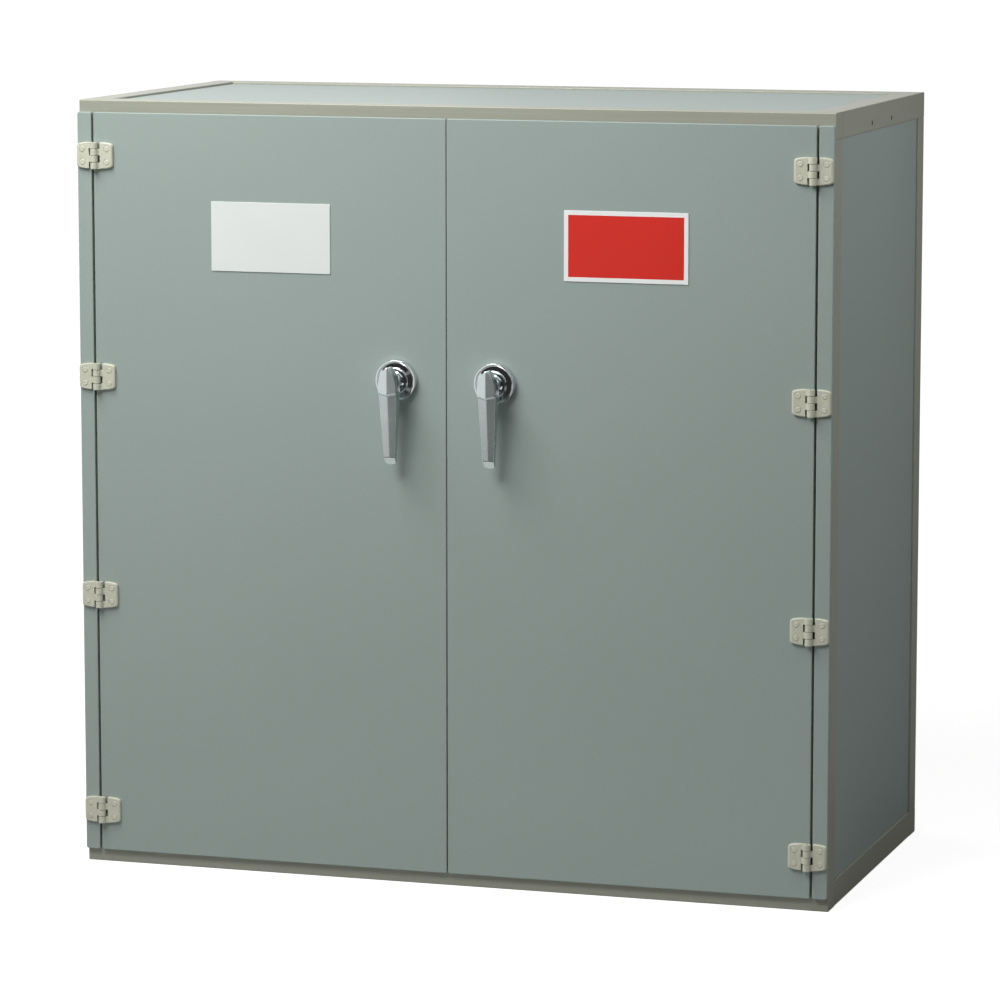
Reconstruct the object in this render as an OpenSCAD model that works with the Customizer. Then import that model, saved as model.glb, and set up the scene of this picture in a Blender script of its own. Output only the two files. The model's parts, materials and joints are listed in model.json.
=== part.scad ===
// Two-door lockable medicine cabinet, in millimetres.
// +X is to the right of a person who faces the doors, +Y goes into the cabinet, +Z is up.
// The origin is on the floor, at the centre of the footprint of everything, handles included.

/* [Cabinet] */
// Width over the side rails
cab_w = 900; // [800:10:1200]
// Height from the floor to the top rails
cab_h = 900; // [800:10:1200]
// Depth of the carcass, without the doors
cab_d = 450; // [400:10:600]

/* [Frame and panels] */
// Width of each leg of the angle rails and posts
leg_w = 30; // [28:1:36]
// Thickness of the angle
leg_t = 2.5; // [2.5:0.5:3]
// Thickness of the side, top, bottom, back and middle panels
panel_t = 6; // [5:0.5:8]
// Width of the mullion that both doors close on
mullion_w = 40; // [36:1:44]

/* [Doors] */
// Thickness of a door
door_t = 5.5; // [5.5:0.5:12]
// Space between the back of a door and the frame
door_back_gap = 1.5; // [1.5:0.1:2]
// Bottom edge of the doors and stiles, from the floor
door_bottom = 15.5; // [14:0.5:20]
// Distance from the top of the cabinet down to the top edge of the doors
door_top_drop = 14; // [12:0.5:20]
// Width of the fixed stile that carries the hinges
stile_w = 17.5; // [17:0.5:18]
// Slit between a stile and its door
side_slit = 2.4; // [2.2:0.1:2.6]
// Slit between the two doors
middle_slit = 1.2; // [1.2:0.2:3]

/* [Hinges] */
// Distance of the hinge pins from the side of the cabinet
pin_inset = 22.7; // [22.6:0.1:23]
// Distance of the hinge pins in front of the doors' faces
pin_out = 5; // [5:0.1:5.5]
// Height of the lowest hinge's middle
first_hinge_z = 64; // [60:1:90]
// Thickness of a leaf
leaf_t = 4.2; // [3.6:0.1:4.2]

/* [Label plates] */
// Width of a label plate
label_w = 145; // [100:5:200]
// Height of a label plate
label_h = 80; // [50:5:120]
// Height of the plates' middle
label_z = 746; // [700:1:760]

/* [Handles and locks] */
// Distance of each spindle from the middle of the cabinet
spindle_x = 59; // [58:0.5:62]
// Height of the spindles
spindle_z = 587; // [500:1:640]
// Length of the lever below the spindle
lever_drop = 94; // [80:1:120]
// How far the handle stands out from the door
handle_reach = 39.5; // [39.5:0.5:42]

/* [Shelves] */
// Thickness of a shelf
shelf_t = 4; // [3:0.5:6]
// Height of the lip at the front of a shelf
lip_h = 20; // [10:1:30]

/* [Hidden] */
$fn = 64;

LEFT = -1;
RIGHT = 1;

// Colours
beige = [0.55, 0.53, 0.48];
grey_green = [0.53, 0.59, 0.56];
ivory = [0.84, 0.83, 0.74];
chrome = [0.80, 0.82, 0.83];
steel = [0.62, 0.63, 0.64];
brass = [0.75, 0.62, 0.30];
white = [0.92, 0.93, 0.92];
red = [0.80, 0.14, 0.12];
black = [0.12, 0.12, 0.12];

// Planes of the carcass. What stands ahead of it moves the carcass back from the origin.
ahead = door_back_gap + door_t + handle_reach;
front_y = (ahead - cab_d) / 2;
back_y = front_y + cab_d;
mid_y = (front_y + back_y) / 2;
side_x = cab_w / 2;
inner_x = side_x - leg_t - panel_t;
inner_back = back_y - leg_t - panel_t;
floor_top = leg_t + panel_t;
ceiling = cab_h - leg_t - panel_t;
half_panel = panel_t / 2;

// Doors and stiles
door_face_y = front_y - door_back_gap - door_t;
door_back_y = front_y - door_back_gap;
door_top = cab_h - door_top_drop;
door_edge_x = side_x - stile_w - side_slit;
door_meet_x = middle_slit / 2;

// Two fixing holes through the top side rail and the panel behind it
fixing_r = 3;
fixing_pitch = 100;
fixing_drop = 21;

// Hinges: the pin's axis is the local origin, and a leaf runs towards local +X
pin_x = side_x - pin_inset;
pin_y = door_face_y - pin_out;
hinge_pitch = (cab_h - 2 * first_hinge_z) / 3;
hinge_zs = [for (i = [0:3]) first_hinge_z + i * hinge_pitch];
pin_r = 1.5;
running_gap = 0.05;
knuckle_r = 4.4;
knuckle_h = 7.45;
knuckle_pitch = 7.85;
leaf_start = 6.9;
leaf_reach = 22.5;
leaf_half_h = 15.5;
leaf_end_half_h = 13.3;
leaf_corner_r = 3;
leaf_face = pin_out - leaf_t;
web_lift = 0.6;
leaf_screw_x = 15;
leaf_screw_z = 7.7;
screw_r = 1.5;
screw_head_r = 3.4;
screw_head_h = 0.5;
pilot_depth = 4;

// Label plates
label_t = 1;
label_x = 212;

// Handle: local +Z points out of the door from its face, local +Y is up
base_r = 24.5;
tube_r = 10;
tube_end = -(door_t + 4.4);
neck_bore_r = 9;
neck_fit_r = 8.92;
spindle_bore_r = 6.2;
bore_step = -4;
collar_top = 9;
neck_r = 11;
neck_start = collar_top + 0.4;
nut_t = 4;
spindle_side = 8;
spindle_top = 1;
strike_t = 0.6;
strike_gap = 0.4;
cam_t = 3;
cam_front = -(front_y + leg_t + strike_t + strike_gap - door_face_y);
cam_back = cam_front - cam_t;
cam_w = 16;
cam_reach = 47;
stud_r = 3;
stud_end = cam_back - 4.5;

// Lever: one flat back, a head with an arched outline, and a grip that tapers to the tip
head_half_w = 10.5;
head_apex = 18.2;
arch_base = -4;
arch_rise = head_apex - arch_base;
arch_r = (head_half_w * head_half_w + arch_rise * arch_rise) / (2 * head_half_w);
lever_back = handle_reach - 18;
facet_rise = 1.2;
taper_start = -12;
tip_half_w = 6.2;
tip_corner = 3;
tip_fall = 7.3;

// Keyhole cover, the front of the head. Its pivot is also the centre of its lower edge.
cover_t = 6;
cover_back = handle_reach - cover_t;
cover_gap = 0.3;
head_front = cover_back - cover_gap;
cover_pivot_y = 7.2;
cover_r = 21.7;
cover_pin_bottom = head_front - 6;
cover_pin_top = handle_reach - 2.6;

// The grip's ridge starts this far behind the cover's, and leans towards the door
grip_step = 3.2;
grip_start = cover_pivot_y - cover_r;
grip_tilt = atan(tip_fall / (lever_drop + grip_start));

// Bevelled tip: how high it is, and the angle of its face to the door
tip_bevel = 7.5;
tip_bevel_angle = 38;

// Lock: the plug's tail pin lifts the bolt 3 mm as the plug turns a quarter
plug_r = 4.5;
plug_bottom = 7.6;
tail_r = 1;
tail_offset = 1.5;
bolt_bottom = 3.4;
bolt_top = 7.2;
bolt_half_w = 2;
bolt_gap = 0.3;
bolt_travel = 3;
tongue_end = 8.4;

// Shelves and their rails
shelf_front = front_y + 25;
shelf_back = inner_back - 1;
bay_h = (ceiling - floor_top) / 3;
shelf_zs = [for (i = [1, 2]) floor_top + i * bay_h];
shelf_rail_w = 15;
shelf_rail_t = 2;

// A block between two opposite corners
module block(low, high) translate(low) cube(high - low);

// The same shape for the left side, mirrored about the cabinet's middle plane
module on_side(side) {
    if (side == LEFT) mirror([1, 0, 0]) children();
    else children();
}

// ---- frame ----

// A rail across the cabinet: an angle with closed ends, its outer edge on the X axis,
// one leg down and one leg back
module cross_rail() {
    color(beige) {
        block([-side_x, 0, -leg_w], [side_x, leg_t, 0]);
        block([-side_x, 0, -leg_t], [side_x, leg_w, 0]);
        for (end = [-side_x, side_x - leg_t])
            block([end, 0, -leg_w], [end + leg_t, leg_w, 0]);
    }
}

// A rail along a side, between the cross rails, its outer edge on the Y axis at X = 0
module side_rail(drilled) {
    half_l = cab_d / 2 - leg_w;
    color(beige) difference() {
        union() {
            block([-leg_t, -half_l, -leg_w], [0, half_l, 0]);
            block([-leg_w, -half_l, -leg_t], [0, half_l, 0]);
        }
        if (drilled) fixing_holes();
    }
}

// Two holes along X, below the rail's outer edge
module fixing_holes() {
    for (y = [-fixing_pitch / 2, fixing_pitch / 2])
        translate([0, y, -fixing_drop]) rotate([0, 90, 0])
            cylinder(r = fixing_r, h = 4 * (leg_t + panel_t), center = true);
}

// A corner post, its outer edge on the Z axis
module post() {
    color(beige) {
        block([-leg_w, 0, leg_w], [0, leg_t, cab_h - leg_w]);
        block([-leg_t, 0, leg_w], [0, leg_w, cab_h - leg_w]);
    }
}

module front_top_rail() translate([0, front_y, cab_h]) cross_rail();
module rear_top_rail() translate([0, back_y, cab_h]) mirror([0, 1, 0]) cross_rail();
module front_bottom_rail() translate([0, front_y, 0]) mirror([0, 0, 1]) cross_rail();
module rear_bottom_rail()
    translate([0, back_y, 0]) mirror([0, 1, 0]) mirror([0, 0, 1]) cross_rail();

module top_side_rail(side) on_side(side) translate([side_x, mid_y, cab_h]) side_rail(true);
module bottom_side_rail(side)
    on_side(side) translate([side_x, mid_y, 0]) mirror([0, 0, 1]) side_rail(false);
module left_top_rail() top_side_rail(LEFT);
module right_top_rail() top_side_rail(RIGHT);
module left_bottom_rail() bottom_side_rail(LEFT);
module right_bottom_rail() bottom_side_rail(RIGHT);

module front_post(side) on_side(side) translate([side_x, front_y, 0]) post();
module rear_post(side) on_side(side) translate([side_x, back_y, 0]) mirror([0, 1, 0]) post();
module front_left_post() front_post(LEFT);
module front_right_post() front_post(RIGHT);
module rear_left_post() rear_post(LEFT);
module rear_right_post() rear_post(RIGHT);

// ---- panels ----

// A side panel lies inside the posts and rails
module side_panel(side) {
    color(grey_green) on_side(side) difference() {
        block([inner_x, front_y + leg_t, leg_t],
              [inner_x + panel_t, back_y - leg_t, cab_h - leg_t]);
        translate([side_x, mid_y, cab_h]) fixing_holes();
    }
}
module left_side_panel() side_panel(LEFT);
module right_side_panel() side_panel(RIGHT);

module flat_panel(z)
    color(grey_green)
        block([-inner_x, front_y + leg_t, z], [inner_x, back_y - leg_t, z + panel_t]);
module top_panel() flat_panel(ceiling);
module bottom_panel() flat_panel(leg_t);

module back_panel()
    color(grey_green) block([-inner_x, inner_back, floor_top],
                            [inner_x, inner_back + panel_t, ceiling]);

module centre_partition()
    color(grey_green) block([-half_panel, front_y + leg_t, floor_top],
                            [half_panel, inner_back, ceiling]);

// The flat bar that the doors meet in front of
module centre_mullion()
    color(beige) block([-mullion_w / 2, front_y, leg_w],
                       [mullion_w / 2, front_y + leg_t, cab_h - leg_w]);

// Pilot holes for one side's leaf screws, at side -1 or +1 of the pins, from the door's face
module pilot_holes(direction) {
    for (z = hinge_zs, dz = [-leaf_screw_z, leaf_screw_z])
        translate([pin_x + direction * leaf_screw_x, door_face_y, z + dz]) rotate([-90, 0, 0])
            translate([0, 0, -1]) cylinder(r = screw_r, h = pilot_depth + 1);
}

module hinge_stile(side) {
    color(grey_green) on_side(side) difference() {
        block([side_x - stile_w, door_face_y, door_bottom], [side_x, front_y, door_top]);
        pilot_holes(1);
    }
}
module left_hinge_stile() hinge_stile(LEFT);
module right_hinge_stile() hinge_stile(RIGHT);

// ---- shelves ----

// A shelf with an upstanding lip along its front edge
module shelf(side, level) {
    inner_end = half_panel + 1;
    outer_end = inner_x - 1;
    z = shelf_zs[level];
    color(grey_green) on_side(side) {
        block([inner_end, shelf_front, z], [outer_end, shelf_back, z + shelf_t]);
        block([inner_end, shelf_front, z], [outer_end, shelf_front + 3, z + shelf_t + lip_h]);
    }
}
module left_lower_shelf() shelf(LEFT, 0);
module left_upper_shelf() shelf(LEFT, 1);
module right_lower_shelf() shelf(RIGHT, 0);
module right_upper_shelf() shelf(RIGHT, 1);

// An angle under a shelf's end: wall is the plane that it is fixed to, and it reaches
// towards +X or -X
module shelf_rail(wall, direction, z) {
    translate([wall, 0, z]) mirror([direction < 0 ? 1 : 0, 0, 0]) {
        block([0, shelf_front + 5, -shelf_rail_t], [shelf_rail_w, shelf_back - 5, 0]);
        block([0, shelf_front + 5, -shelf_rail_w], [shelf_rail_t, shelf_back - 5, 0]);
    }
}

module shelf_rails() {
    color(beige) for (side = [LEFT, RIGHT], z = shelf_zs) on_side(side) {
        shelf_rail(half_panel, 1, z);
        shelf_rail(inner_x, -1, z);
    }
}

// ---- small fittings on the frame ----

module door_bumpers() {
    bumper_r = 4;
    bumper_t = door_back_gap - 0.5;
    color(black) for (side = [LEFT, RIGHT], x = [10, door_edge_x - 5], z = [100, cab_h - 100])
        on_side(side) translate([x, front_y, z]) rotate([90, 0, 0])
            cylinder(r = bumper_r, h = bumper_t);
}

// Thin plates on the back of the mullion, where the latch cams bear
module strike_plates() {
    color(steel) for (side = [LEFT, RIGHT]) on_side(side)
        block([half_panel + 1, front_y + leg_t, spindle_z - 25],
              [mullion_w / 2 - 1, front_y + leg_t + strike_t, spindle_z + 25]);
}

// ---- hinges ----

// Outline of a leaf's flat part in X and Z: crowned towards the pin, with round outer corners
module leaf_outline() {
    corner_x = leaf_reach - leaf_corner_r;
    corner_z = leaf_end_half_h - leaf_corner_r;
    polygon([
        [leaf_start, -leaf_half_h], [corner_x, -leaf_end_half_h], [leaf_reach, -corner_z],
        [leaf_reach, corner_z], [corner_x, leaf_end_half_h], [leaf_start, leaf_half_h]
    ]);
    for (z = [-corner_z, corner_z]) translate([corner_x, z]) circle(r = leaf_corner_r);
}

// A leaf towards +X with the numbered knuckles, counted down from the top
module hinge_leaf(knuckles, bore_r) {
    difference() {
        union() {
            translate([0, leaf_face + leaf_t, 0]) rotate([90, 0, 0])
                linear_extrude(leaf_t) leaf_outline();
            for (k = knuckles) translate([0, 0, (1.5 - k) * knuckle_pitch]) {
                cylinder(r = knuckle_r, h = knuckle_h, center = true);
                block([0, leaf_face, -knuckle_h / 2],
                      [leaf_start + 1, pin_out - web_lift, knuckle_h / 2]);
            }
        }
        cylinder(r = bore_r, h = 2 * leaf_half_h + 4, center = true);
        for (z = [-leaf_screw_z, leaf_screw_z])
            translate([leaf_screw_x, 0, z]) rotate([-90, 0, 0])
                cylinder(r = screw_r, h = pin_out + 1);
    }
}

// Places children at each hinge of one side, with local +X towards the stile
module at_hinges(side)
    on_side(side) for (z = hinge_zs) translate([pin_x, pin_y, z]) children();

// The right-hand leaf of each hinge carries the lower of each pair of knuckles
module hinge_frame_leaves() {
    color(ivory) {
        at_hinges(RIGHT) hinge_leaf([1, 3], pin_r);
        at_hinges(LEFT) hinge_leaf([0, 2], pin_r);
    }
}
module door_leaves(side, knuckles)
    color(ivory) at_hinges(side) mirror([1, 0, 0]) hinge_leaf(knuckles, pin_r + running_gap);
module left_hinge_door_leaves() door_leaves(LEFT, [1, 3]);
module right_hinge_door_leaves() door_leaves(RIGHT, [0, 2]);

module hinge_pins() {
    color(steel) for (side = [LEFT, RIGHT]) at_hinges(side)
        cylinder(r = pin_r, h = 2 * leaf_half_h, center = true);
}

// One screw along +Y, its shank from the leaf's face into the board, with a dimpled head
module leaf_screw() {
    translate([0, leaf_face, 0]) rotate([-90, 0, 0]) {
        difference() {
            translate([0, 0, -screw_head_h]) cylinder(r = screw_head_r, h = screw_head_h);
            translate([0, 0, -screw_head_h - 1]) cylinder(r = 0.9, h = 1.3);
        }
        cylinder(r = screw_r, h = leaf_t + pilot_depth - 0.5);
    }
}
module leaf_screws(side, direction)
    at_hinges(side) for (z = [-leaf_screw_z, leaf_screw_z])
        translate([direction * leaf_screw_x, 0, z]) leaf_screw();
module frame_leaf_screws() color(ivory) for (side = [LEFT, RIGHT]) leaf_screws(side, 1);
module left_door_leaf_screws() color(ivory) leaf_screws(LEFT, -1);
module right_door_leaf_screws() color(ivory) leaf_screws(RIGHT, -1);

// ---- doors ----

module door_panel(side) {
    color(grey_green) on_side(side) difference() {
        block([door_meet_x, door_face_y, door_bottom], [door_edge_x, door_back_y, door_top]);
        pilot_holes(-1);
        translate([spindle_x, door_face_y, spindle_z]) rotate([-90, 0, 0])
            translate([0, 0, -1]) cylinder(r = tube_r, h = door_t + 2);
    }
}
module left_door_panel() door_panel(LEFT);
module right_door_panel() door_panel(RIGHT);

module label_plate(side)
    on_side(side) block([label_x - label_w / 2, door_face_y - label_t, label_z - label_h / 2],
                        [label_x + label_w / 2, door_face_y, label_z + label_h / 2]);
module left_label_plate() color(white) label_plate(LEFT);
module right_label_plate() color(red) label_plate(RIGHT);

// ---- handles ----

// Places children on a spindle's axis, with local +Z out of the door and local +Y up.
// The left handle is the mirror image, so its parts turn the other way.
module at_spindle(side)
    on_side(side) translate([spindle_x, door_face_y, spindle_z]) rotate([90, 0, 0]) children();

// Escutcheon, collar and the threaded tube through the door, as one turned piece.
// The two notches take the lock bolt with the lever down or turned a quarter.
module handle_base(side) {
    color(chrome) at_spindle(side) difference() {
        rotate_extrude() polygon([
            [spindle_bore_r, tube_end], [tube_r, tube_end], [tube_r, 0], [base_r, 0],
            [base_r, 0.8], [base_r - 0.7, 7.4], [base_r - 1.2, 8.2], [base_r - 2.4, 8.2],
            [base_r - 3, 6.6], [base_r - 3.6, 6.2], [15.5, 7.7], [14.9, collar_top - 0.6],
            [14.6, collar_top], [13.9, collar_top], [13.5, collar_top - 0.8],
            [10.6, collar_top + 0.1], [neck_bore_r, collar_top + 0.1],
            [neck_bore_r, bore_step], [spindle_bore_r, bore_step]
        ]);
        for (turn = [0, 90]) rotate([0, 0, turn])
            block([-bolt_half_w - bolt_gap, neck_bore_r - 1, bolt_bottom - 2 * bolt_gap],
                  [bolt_half_w + bolt_gap, tongue_end + bolt_travel + 2 * bolt_gap,
                   bolt_top + bolt_gap]);
    }
}
module left_handle_base() handle_base(LEFT);
module right_handle_base() handle_base(RIGHT);

module handle_nut(side) {
    color(steel) at_spindle(side) translate([0, 0, -door_t - nut_t]) difference() {
        cylinder(r = 16, h = nut_t, $fn = 6);
        translate([0, 0, -1]) cylinder(r = tube_r + running_gap, h = nut_t + 2);
    }
}
module left_handle_nut() handle_nut(LEFT);
module right_handle_nut() handle_nut(RIGHT);

// Front view of the head: two arcs that meet in a point at the top
module arch_outline() {
    intersection() {
        translate([head_half_w - arch_r, arch_base]) circle(r = arch_r, $fn = 128);
        translate([arch_r - head_half_w, arch_base]) circle(r = arch_r, $fn = 128);
        translate([-2 * head_half_w, arch_base]) square([4 * head_half_w, arch_rise + 1]);
    }
}

// Front view of the whole lever: the arch, a short straight part, then a taper to the tip
module lever_outline() {
    arch_outline();
    polygon([
        [0, arch_base + 1], [-head_half_w, arch_base], [-head_half_w, taper_start],
        [-tip_half_w, -lever_drop + tip_corner], [-tip_half_w + tip_corner, -lever_drop],
        [tip_half_w - tip_corner, -lever_drop], [tip_half_w, -lever_drop + tip_corner],
        [head_half_w, taper_start], [head_half_w, arch_base]
    ]);
}

// A bar along -Y with a ridge along the middle of its front, at the given height
module ridge_bar(back, ridge, length) {
    wide = head_half_w + 3;
    fall = facet_rise * wide / head_half_w;
    rotate([90, 0, 0]) linear_extrude(length) polygon([
        [-wide, back], [wide, back], [wide, ridge - fall], [0, ridge], [-wide, ridge - fall]
    ]);
}

// The ridged front of the grip leans towards the door, down to a bevelled tip
module grip_solid() {
    difference() {
        intersection() {
            translate([0, 0, lever_back]) linear_extrude(handle_reach) lever_outline();
            translate([0, grip_start, handle_reach - grip_step]) rotate([grip_tilt, 0, 0])
                translate([0, 12, 0]) ridge_bar(-handle_reach, 0, lever_drop + 30);
        }
        translate([0, -lever_drop, lever_back + 1.3]) rotate([tip_bevel_angle, 0, 0])
            block([-20, -20, 0], [20, 2 * tip_bevel, 20]);
        translate([0, cover_pivot_y, head_front])
            cylinder(r = cover_r + cover_gap, h = handle_reach);
    }
}

// The lever is one casting: neck, head and grip, bored for the plug, the bolt, the spindle
// and the pin of the keyhole cover
module lever(side) {
    color(chrome) at_spindle(side) difference() {
        union() {
            translate([0, 0, bore_step + 0.5])
                cylinder(r = neck_fit_r, h = neck_start - bore_step);
            translate([0, 0, neck_start]) cylinder(r = neck_r, h = lever_back + 1 - neck_start);
            translate([0, 0, lever_back]) linear_extrude(head_front - lever_back)
                arch_outline();
            grip_solid();
        }
        translate([0, 0, plug_bottom - 0.2]) cylinder(r = plug_r + running_gap, h = handle_reach);
        block([-bolt_half_w - bolt_gap, -4.3, bolt_bottom - bolt_gap],
              [4.5, 6.3, plug_bottom]);
        block([-bolt_half_w - bolt_gap, 0, bolt_bottom - bolt_gap],
              [bolt_half_w + bolt_gap, neck_bore_r + 1, bolt_top + bolt_gap]);
        spindle_square(bore_step - 1, spindle_top);
        translate([0, cover_pivot_y, cover_pin_bottom]) cylinder(r = pin_r, h = handle_reach);
    }
}
module left_lever() lever(LEFT);
module right_lever() lever(RIGHT);

module spindle_square(bottom, top)
    block([-spindle_side / 2, -spindle_side / 2, bottom], [spindle_side / 2, spindle_side / 2, top]);

module spindle(side) {
    color(steel) at_spindle(side) {
        spindle_square(cam_back, spindle_top);
        translate([0, 0, stud_end]) cylinder(r = stud_r, h = cam_back - stud_end + 1);
    }
}
module left_spindle() spindle(LEFT);
module right_spindle() spindle(RIGHT);

// The cam points up while the lever hangs, and turns in behind the mullion
module latch_cam(side) {
    color(steel) at_spindle(side) translate([0, 0, cam_back]) difference() {
        linear_extrude(cam_t) {
            circle(r = cam_w / 2 + 1);
            translate([-cam_w / 2, 0]) square([cam_w, cam_reach - cam_w / 2]);
            translate([0, cam_reach - cam_w / 2]) circle(r = cam_w / 2);
        }
        spindle_square(-1, cam_t + 1);
    }
}
module left_latch_cam() latch_cam(LEFT);
module right_latch_cam() latch_cam(RIGHT);

module cam_nut(side) {
    color(steel) at_spindle(side) translate([0, 0, cam_back - 4]) difference() {
        cylinder(r = 5.8, h = 4, $fn = 6);
        translate([0, 0, -1]) cylinder(r = stud_r, h = 6);
    }
}
module left_cam_nut() cam_nut(LEFT);
module right_cam_nut() cam_nut(RIGHT);

// ---- locks ----

// Key plug with its keyway, and the off-centre tail pin that works the bolt
module lock_plug(side) {
    color(brass) at_spindle(side) {
        difference() {
            translate([0, 0, plug_bottom])
                cylinder(r = plug_r, h = head_front - 0.3 - plug_bottom);
            block([-0.6, -3, head_front - 12], [0.6, 3, head_front]);
        }
        translate([tail_offset, -tail_offset, bolt_bottom])
            cylinder(r = tail_r, h = plug_bottom - bolt_bottom + 1);
    }
}
module left_lock_plug() lock_plug(LEFT);
module right_lock_plug() lock_plug(RIGHT);

module lock_bolt(side) {
    color(steel) at_spindle(side) difference() {
        union() {
            block([-bolt_half_w, -3.9, bolt_bottom], [4.2, 3, bolt_top]);
            block([-bolt_half_w, 0, bolt_bottom], [bolt_half_w, tongue_end, bolt_top]);
        }
        block([0.1, -2.9, bolt_bottom - 1], [3.4, -0.1, bolt_top + 1]);
    }
}
module left_lock_bolt() lock_bolt(LEFT);
module right_lock_bolt() lock_bolt(RIGHT);

module cover_pin(side)
    color(steel) at_spindle(side) translate([0, cover_pivot_y, cover_pin_bottom])
        cylinder(r = pin_r, h = cover_pin_top - 0.3 - cover_pin_bottom);
module left_cover_pin() cover_pin(LEFT);
module right_cover_pin() cover_pin(RIGHT);

// The cover is the ridged front of the head. Its lower edge is an arc about its own pin.
module keyhole_cover(side) {
    color(chrome) at_spindle(side) difference() {
        intersection() {
            translate([0, 0, cover_back]) linear_extrude(handle_reach) lever_outline();
            translate([0, cover_pivot_y, 0]) cylinder(r = cover_r, h = handle_reach + 1);
            translate([0, head_apex + 1, 0])
                ridge_bar(cover_back - 1, handle_reach, head_apex + cover_r);
        }
        translate([0, cover_pivot_y, cover_back - 1])
            cylinder(r = pin_r + running_gap, h = cover_pin_top - cover_back + 1);
    }
}
module left_keyhole_cover() keyhole_cover(LEFT);
module right_keyhole_cover() keyhole_cover(RIGHT);

front_top_rail();
rear_top_rail();
left_top_rail();
right_top_rail();
front_bottom_rail();
rear_bottom_rail();
left_bottom_rail();
right_bottom_rail();
front_left_post();
front_right_post();
rear_left_post();
rear_right_post();
left_side_panel();
right_side_panel();
back_panel();
top_panel();
bottom_panel();
left_hinge_stile();
right_hinge_stile();
centre_partition();
centre_mullion();
left_lower_shelf();
left_upper_shelf();
right_lower_shelf();
right_upper_shelf();
shelf_rails();
door_bumpers();
strike_plates();
hinge_frame_leaves();
hinge_pins();
frame_leaf_screws();
left_door_panel();
left_label_plate();
left_hinge_door_leaves();
left_door_leaf_screws();
left_handle_base();
left_handle_nut();
left_lever();
left_spindle();
left_latch_cam();
left_cam_nut();
left_lock_plug();
left_lock_bolt();
left_cover_pin();
left_keyhole_cover();
right_door_panel();
right_label_plate();
right_hinge_door_leaves();
right_door_leaf_screws();
right_handle_base();
right_handle_nut();
right_lever();
right_spindle();
right_latch_cam();
right_cam_nut();
right_lock_plug();
right_lock_bolt();
right_cover_pin();
right_keyhole_cover();
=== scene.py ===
# %% [markdown]
# # Finishing a lockable medicine cabinet
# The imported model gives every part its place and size. This lesson dresses those parts: it
# gives the sheet metal soft edges, turns and casts the door handles, moulds the hinges, and
# then paints, plates and lights them. Nothing is moved or resized on the way.

# %% Load the frame
import json
import math

import bmesh
import bpy
import numpy as np
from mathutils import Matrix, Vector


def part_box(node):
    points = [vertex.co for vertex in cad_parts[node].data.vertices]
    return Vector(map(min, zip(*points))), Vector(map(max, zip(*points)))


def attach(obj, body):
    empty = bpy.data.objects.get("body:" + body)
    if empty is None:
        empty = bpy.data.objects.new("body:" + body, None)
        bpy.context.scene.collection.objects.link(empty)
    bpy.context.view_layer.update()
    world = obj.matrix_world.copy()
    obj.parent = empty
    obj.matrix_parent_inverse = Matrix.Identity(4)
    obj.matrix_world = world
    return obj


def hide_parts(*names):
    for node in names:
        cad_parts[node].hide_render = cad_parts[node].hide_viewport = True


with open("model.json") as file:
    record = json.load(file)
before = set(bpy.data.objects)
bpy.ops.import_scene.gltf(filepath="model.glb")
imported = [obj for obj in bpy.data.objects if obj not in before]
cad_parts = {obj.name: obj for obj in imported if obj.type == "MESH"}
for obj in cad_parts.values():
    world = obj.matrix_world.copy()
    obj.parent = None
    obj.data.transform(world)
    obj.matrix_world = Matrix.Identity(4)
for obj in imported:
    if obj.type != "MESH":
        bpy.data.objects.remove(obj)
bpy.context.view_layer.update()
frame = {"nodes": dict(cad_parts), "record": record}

body_of = {
    node: body
    for body, nodes in frame["record"]["behaviour"]["bodies"].items()
    for node in nodes
}

# %% [markdown]
# ## Shapes as arrays
# A shape here is a pair: an array of points in millimetres and a list of faces. Sheet metal,
# mouldings and castings never have perfectly sharp corners, and it is the soft corner that
# catches the light. So the first tool rounds the corners of an outline. A Bevel modifier could
# do that too, but an outline that is already round gives the same corner on every piece.


# %% Round the corners of an outline
NO_LENGTH, HALF_AN_EDGE, SHARPEST_TURN = 1e-12, 0.49, 0.02


def unit(vectors):
    """Each vector divided by its own length."""
    return vectors / np.maximum(np.linalg.norm(vectors, axis=-1, keepdims=True), NO_LENGTH)


def soften(corners, reach, steps=5):
    """Closed outlines with every corner replaced by an arc that starts `reach` before it.

    With a and b the points at that reach before and after corner c, and w the cosine of half
    the turn, the arc is (a(1-t)^2 + 2wct(1-t) + bt^2) / ((1-t)^2 + 2wt(1-t) + t^2) for t from
    0 to 1. No reach passes the middle of its edge. Corners run along the last axis but one, so
    a whole stack is softened at once."""
    corners = np.asarray(corners, float)
    before, after = np.roll(corners, 1, -2) - corners, np.roll(corners, -1, -2) - corners
    room = HALF_AN_EDGE * np.minimum(
        np.linalg.norm(before, axis=-1), np.linalg.norm(after, axis=-1)
    )
    reach = np.minimum(np.broadcast_to(reach, room.shape), room)[..., None]
    before, after = unit(before), unit(after)
    turn = np.clip((1 - (before * after).sum(-1)) / 2, SHARPEST_TURN, 1)
    weight = np.sqrt(turn)[..., None, None]
    start, end = corners + reach * before, corners + reach * after
    t = np.linspace(0, 1, steps)[:, None]
    arcs = (1 - t) ** 2 * start[..., None, :] + t**2 * end[..., None, :]
    arcs = arcs + 2 * weight * t * (1 - t) * corners[..., None, :]
    arcs = arcs / ((1 - t) ** 2 + 2 * weight * t * (1 - t) + t**2)
    return arcs.reshape(*corners.shape[:-2], -1, corners.shape[-1])


def rectangle(low, high):
    """Corners of a rectangle, anticlockwise from its lowest."""
    return np.array([low, (high[0], low[1]), high, (low[0], high[1])], float)


unit_square = rectangle((0, 0), (1, 1))
print("a square with softened corners has", len(soften(unit_square, 0.1)), "points")


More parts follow.
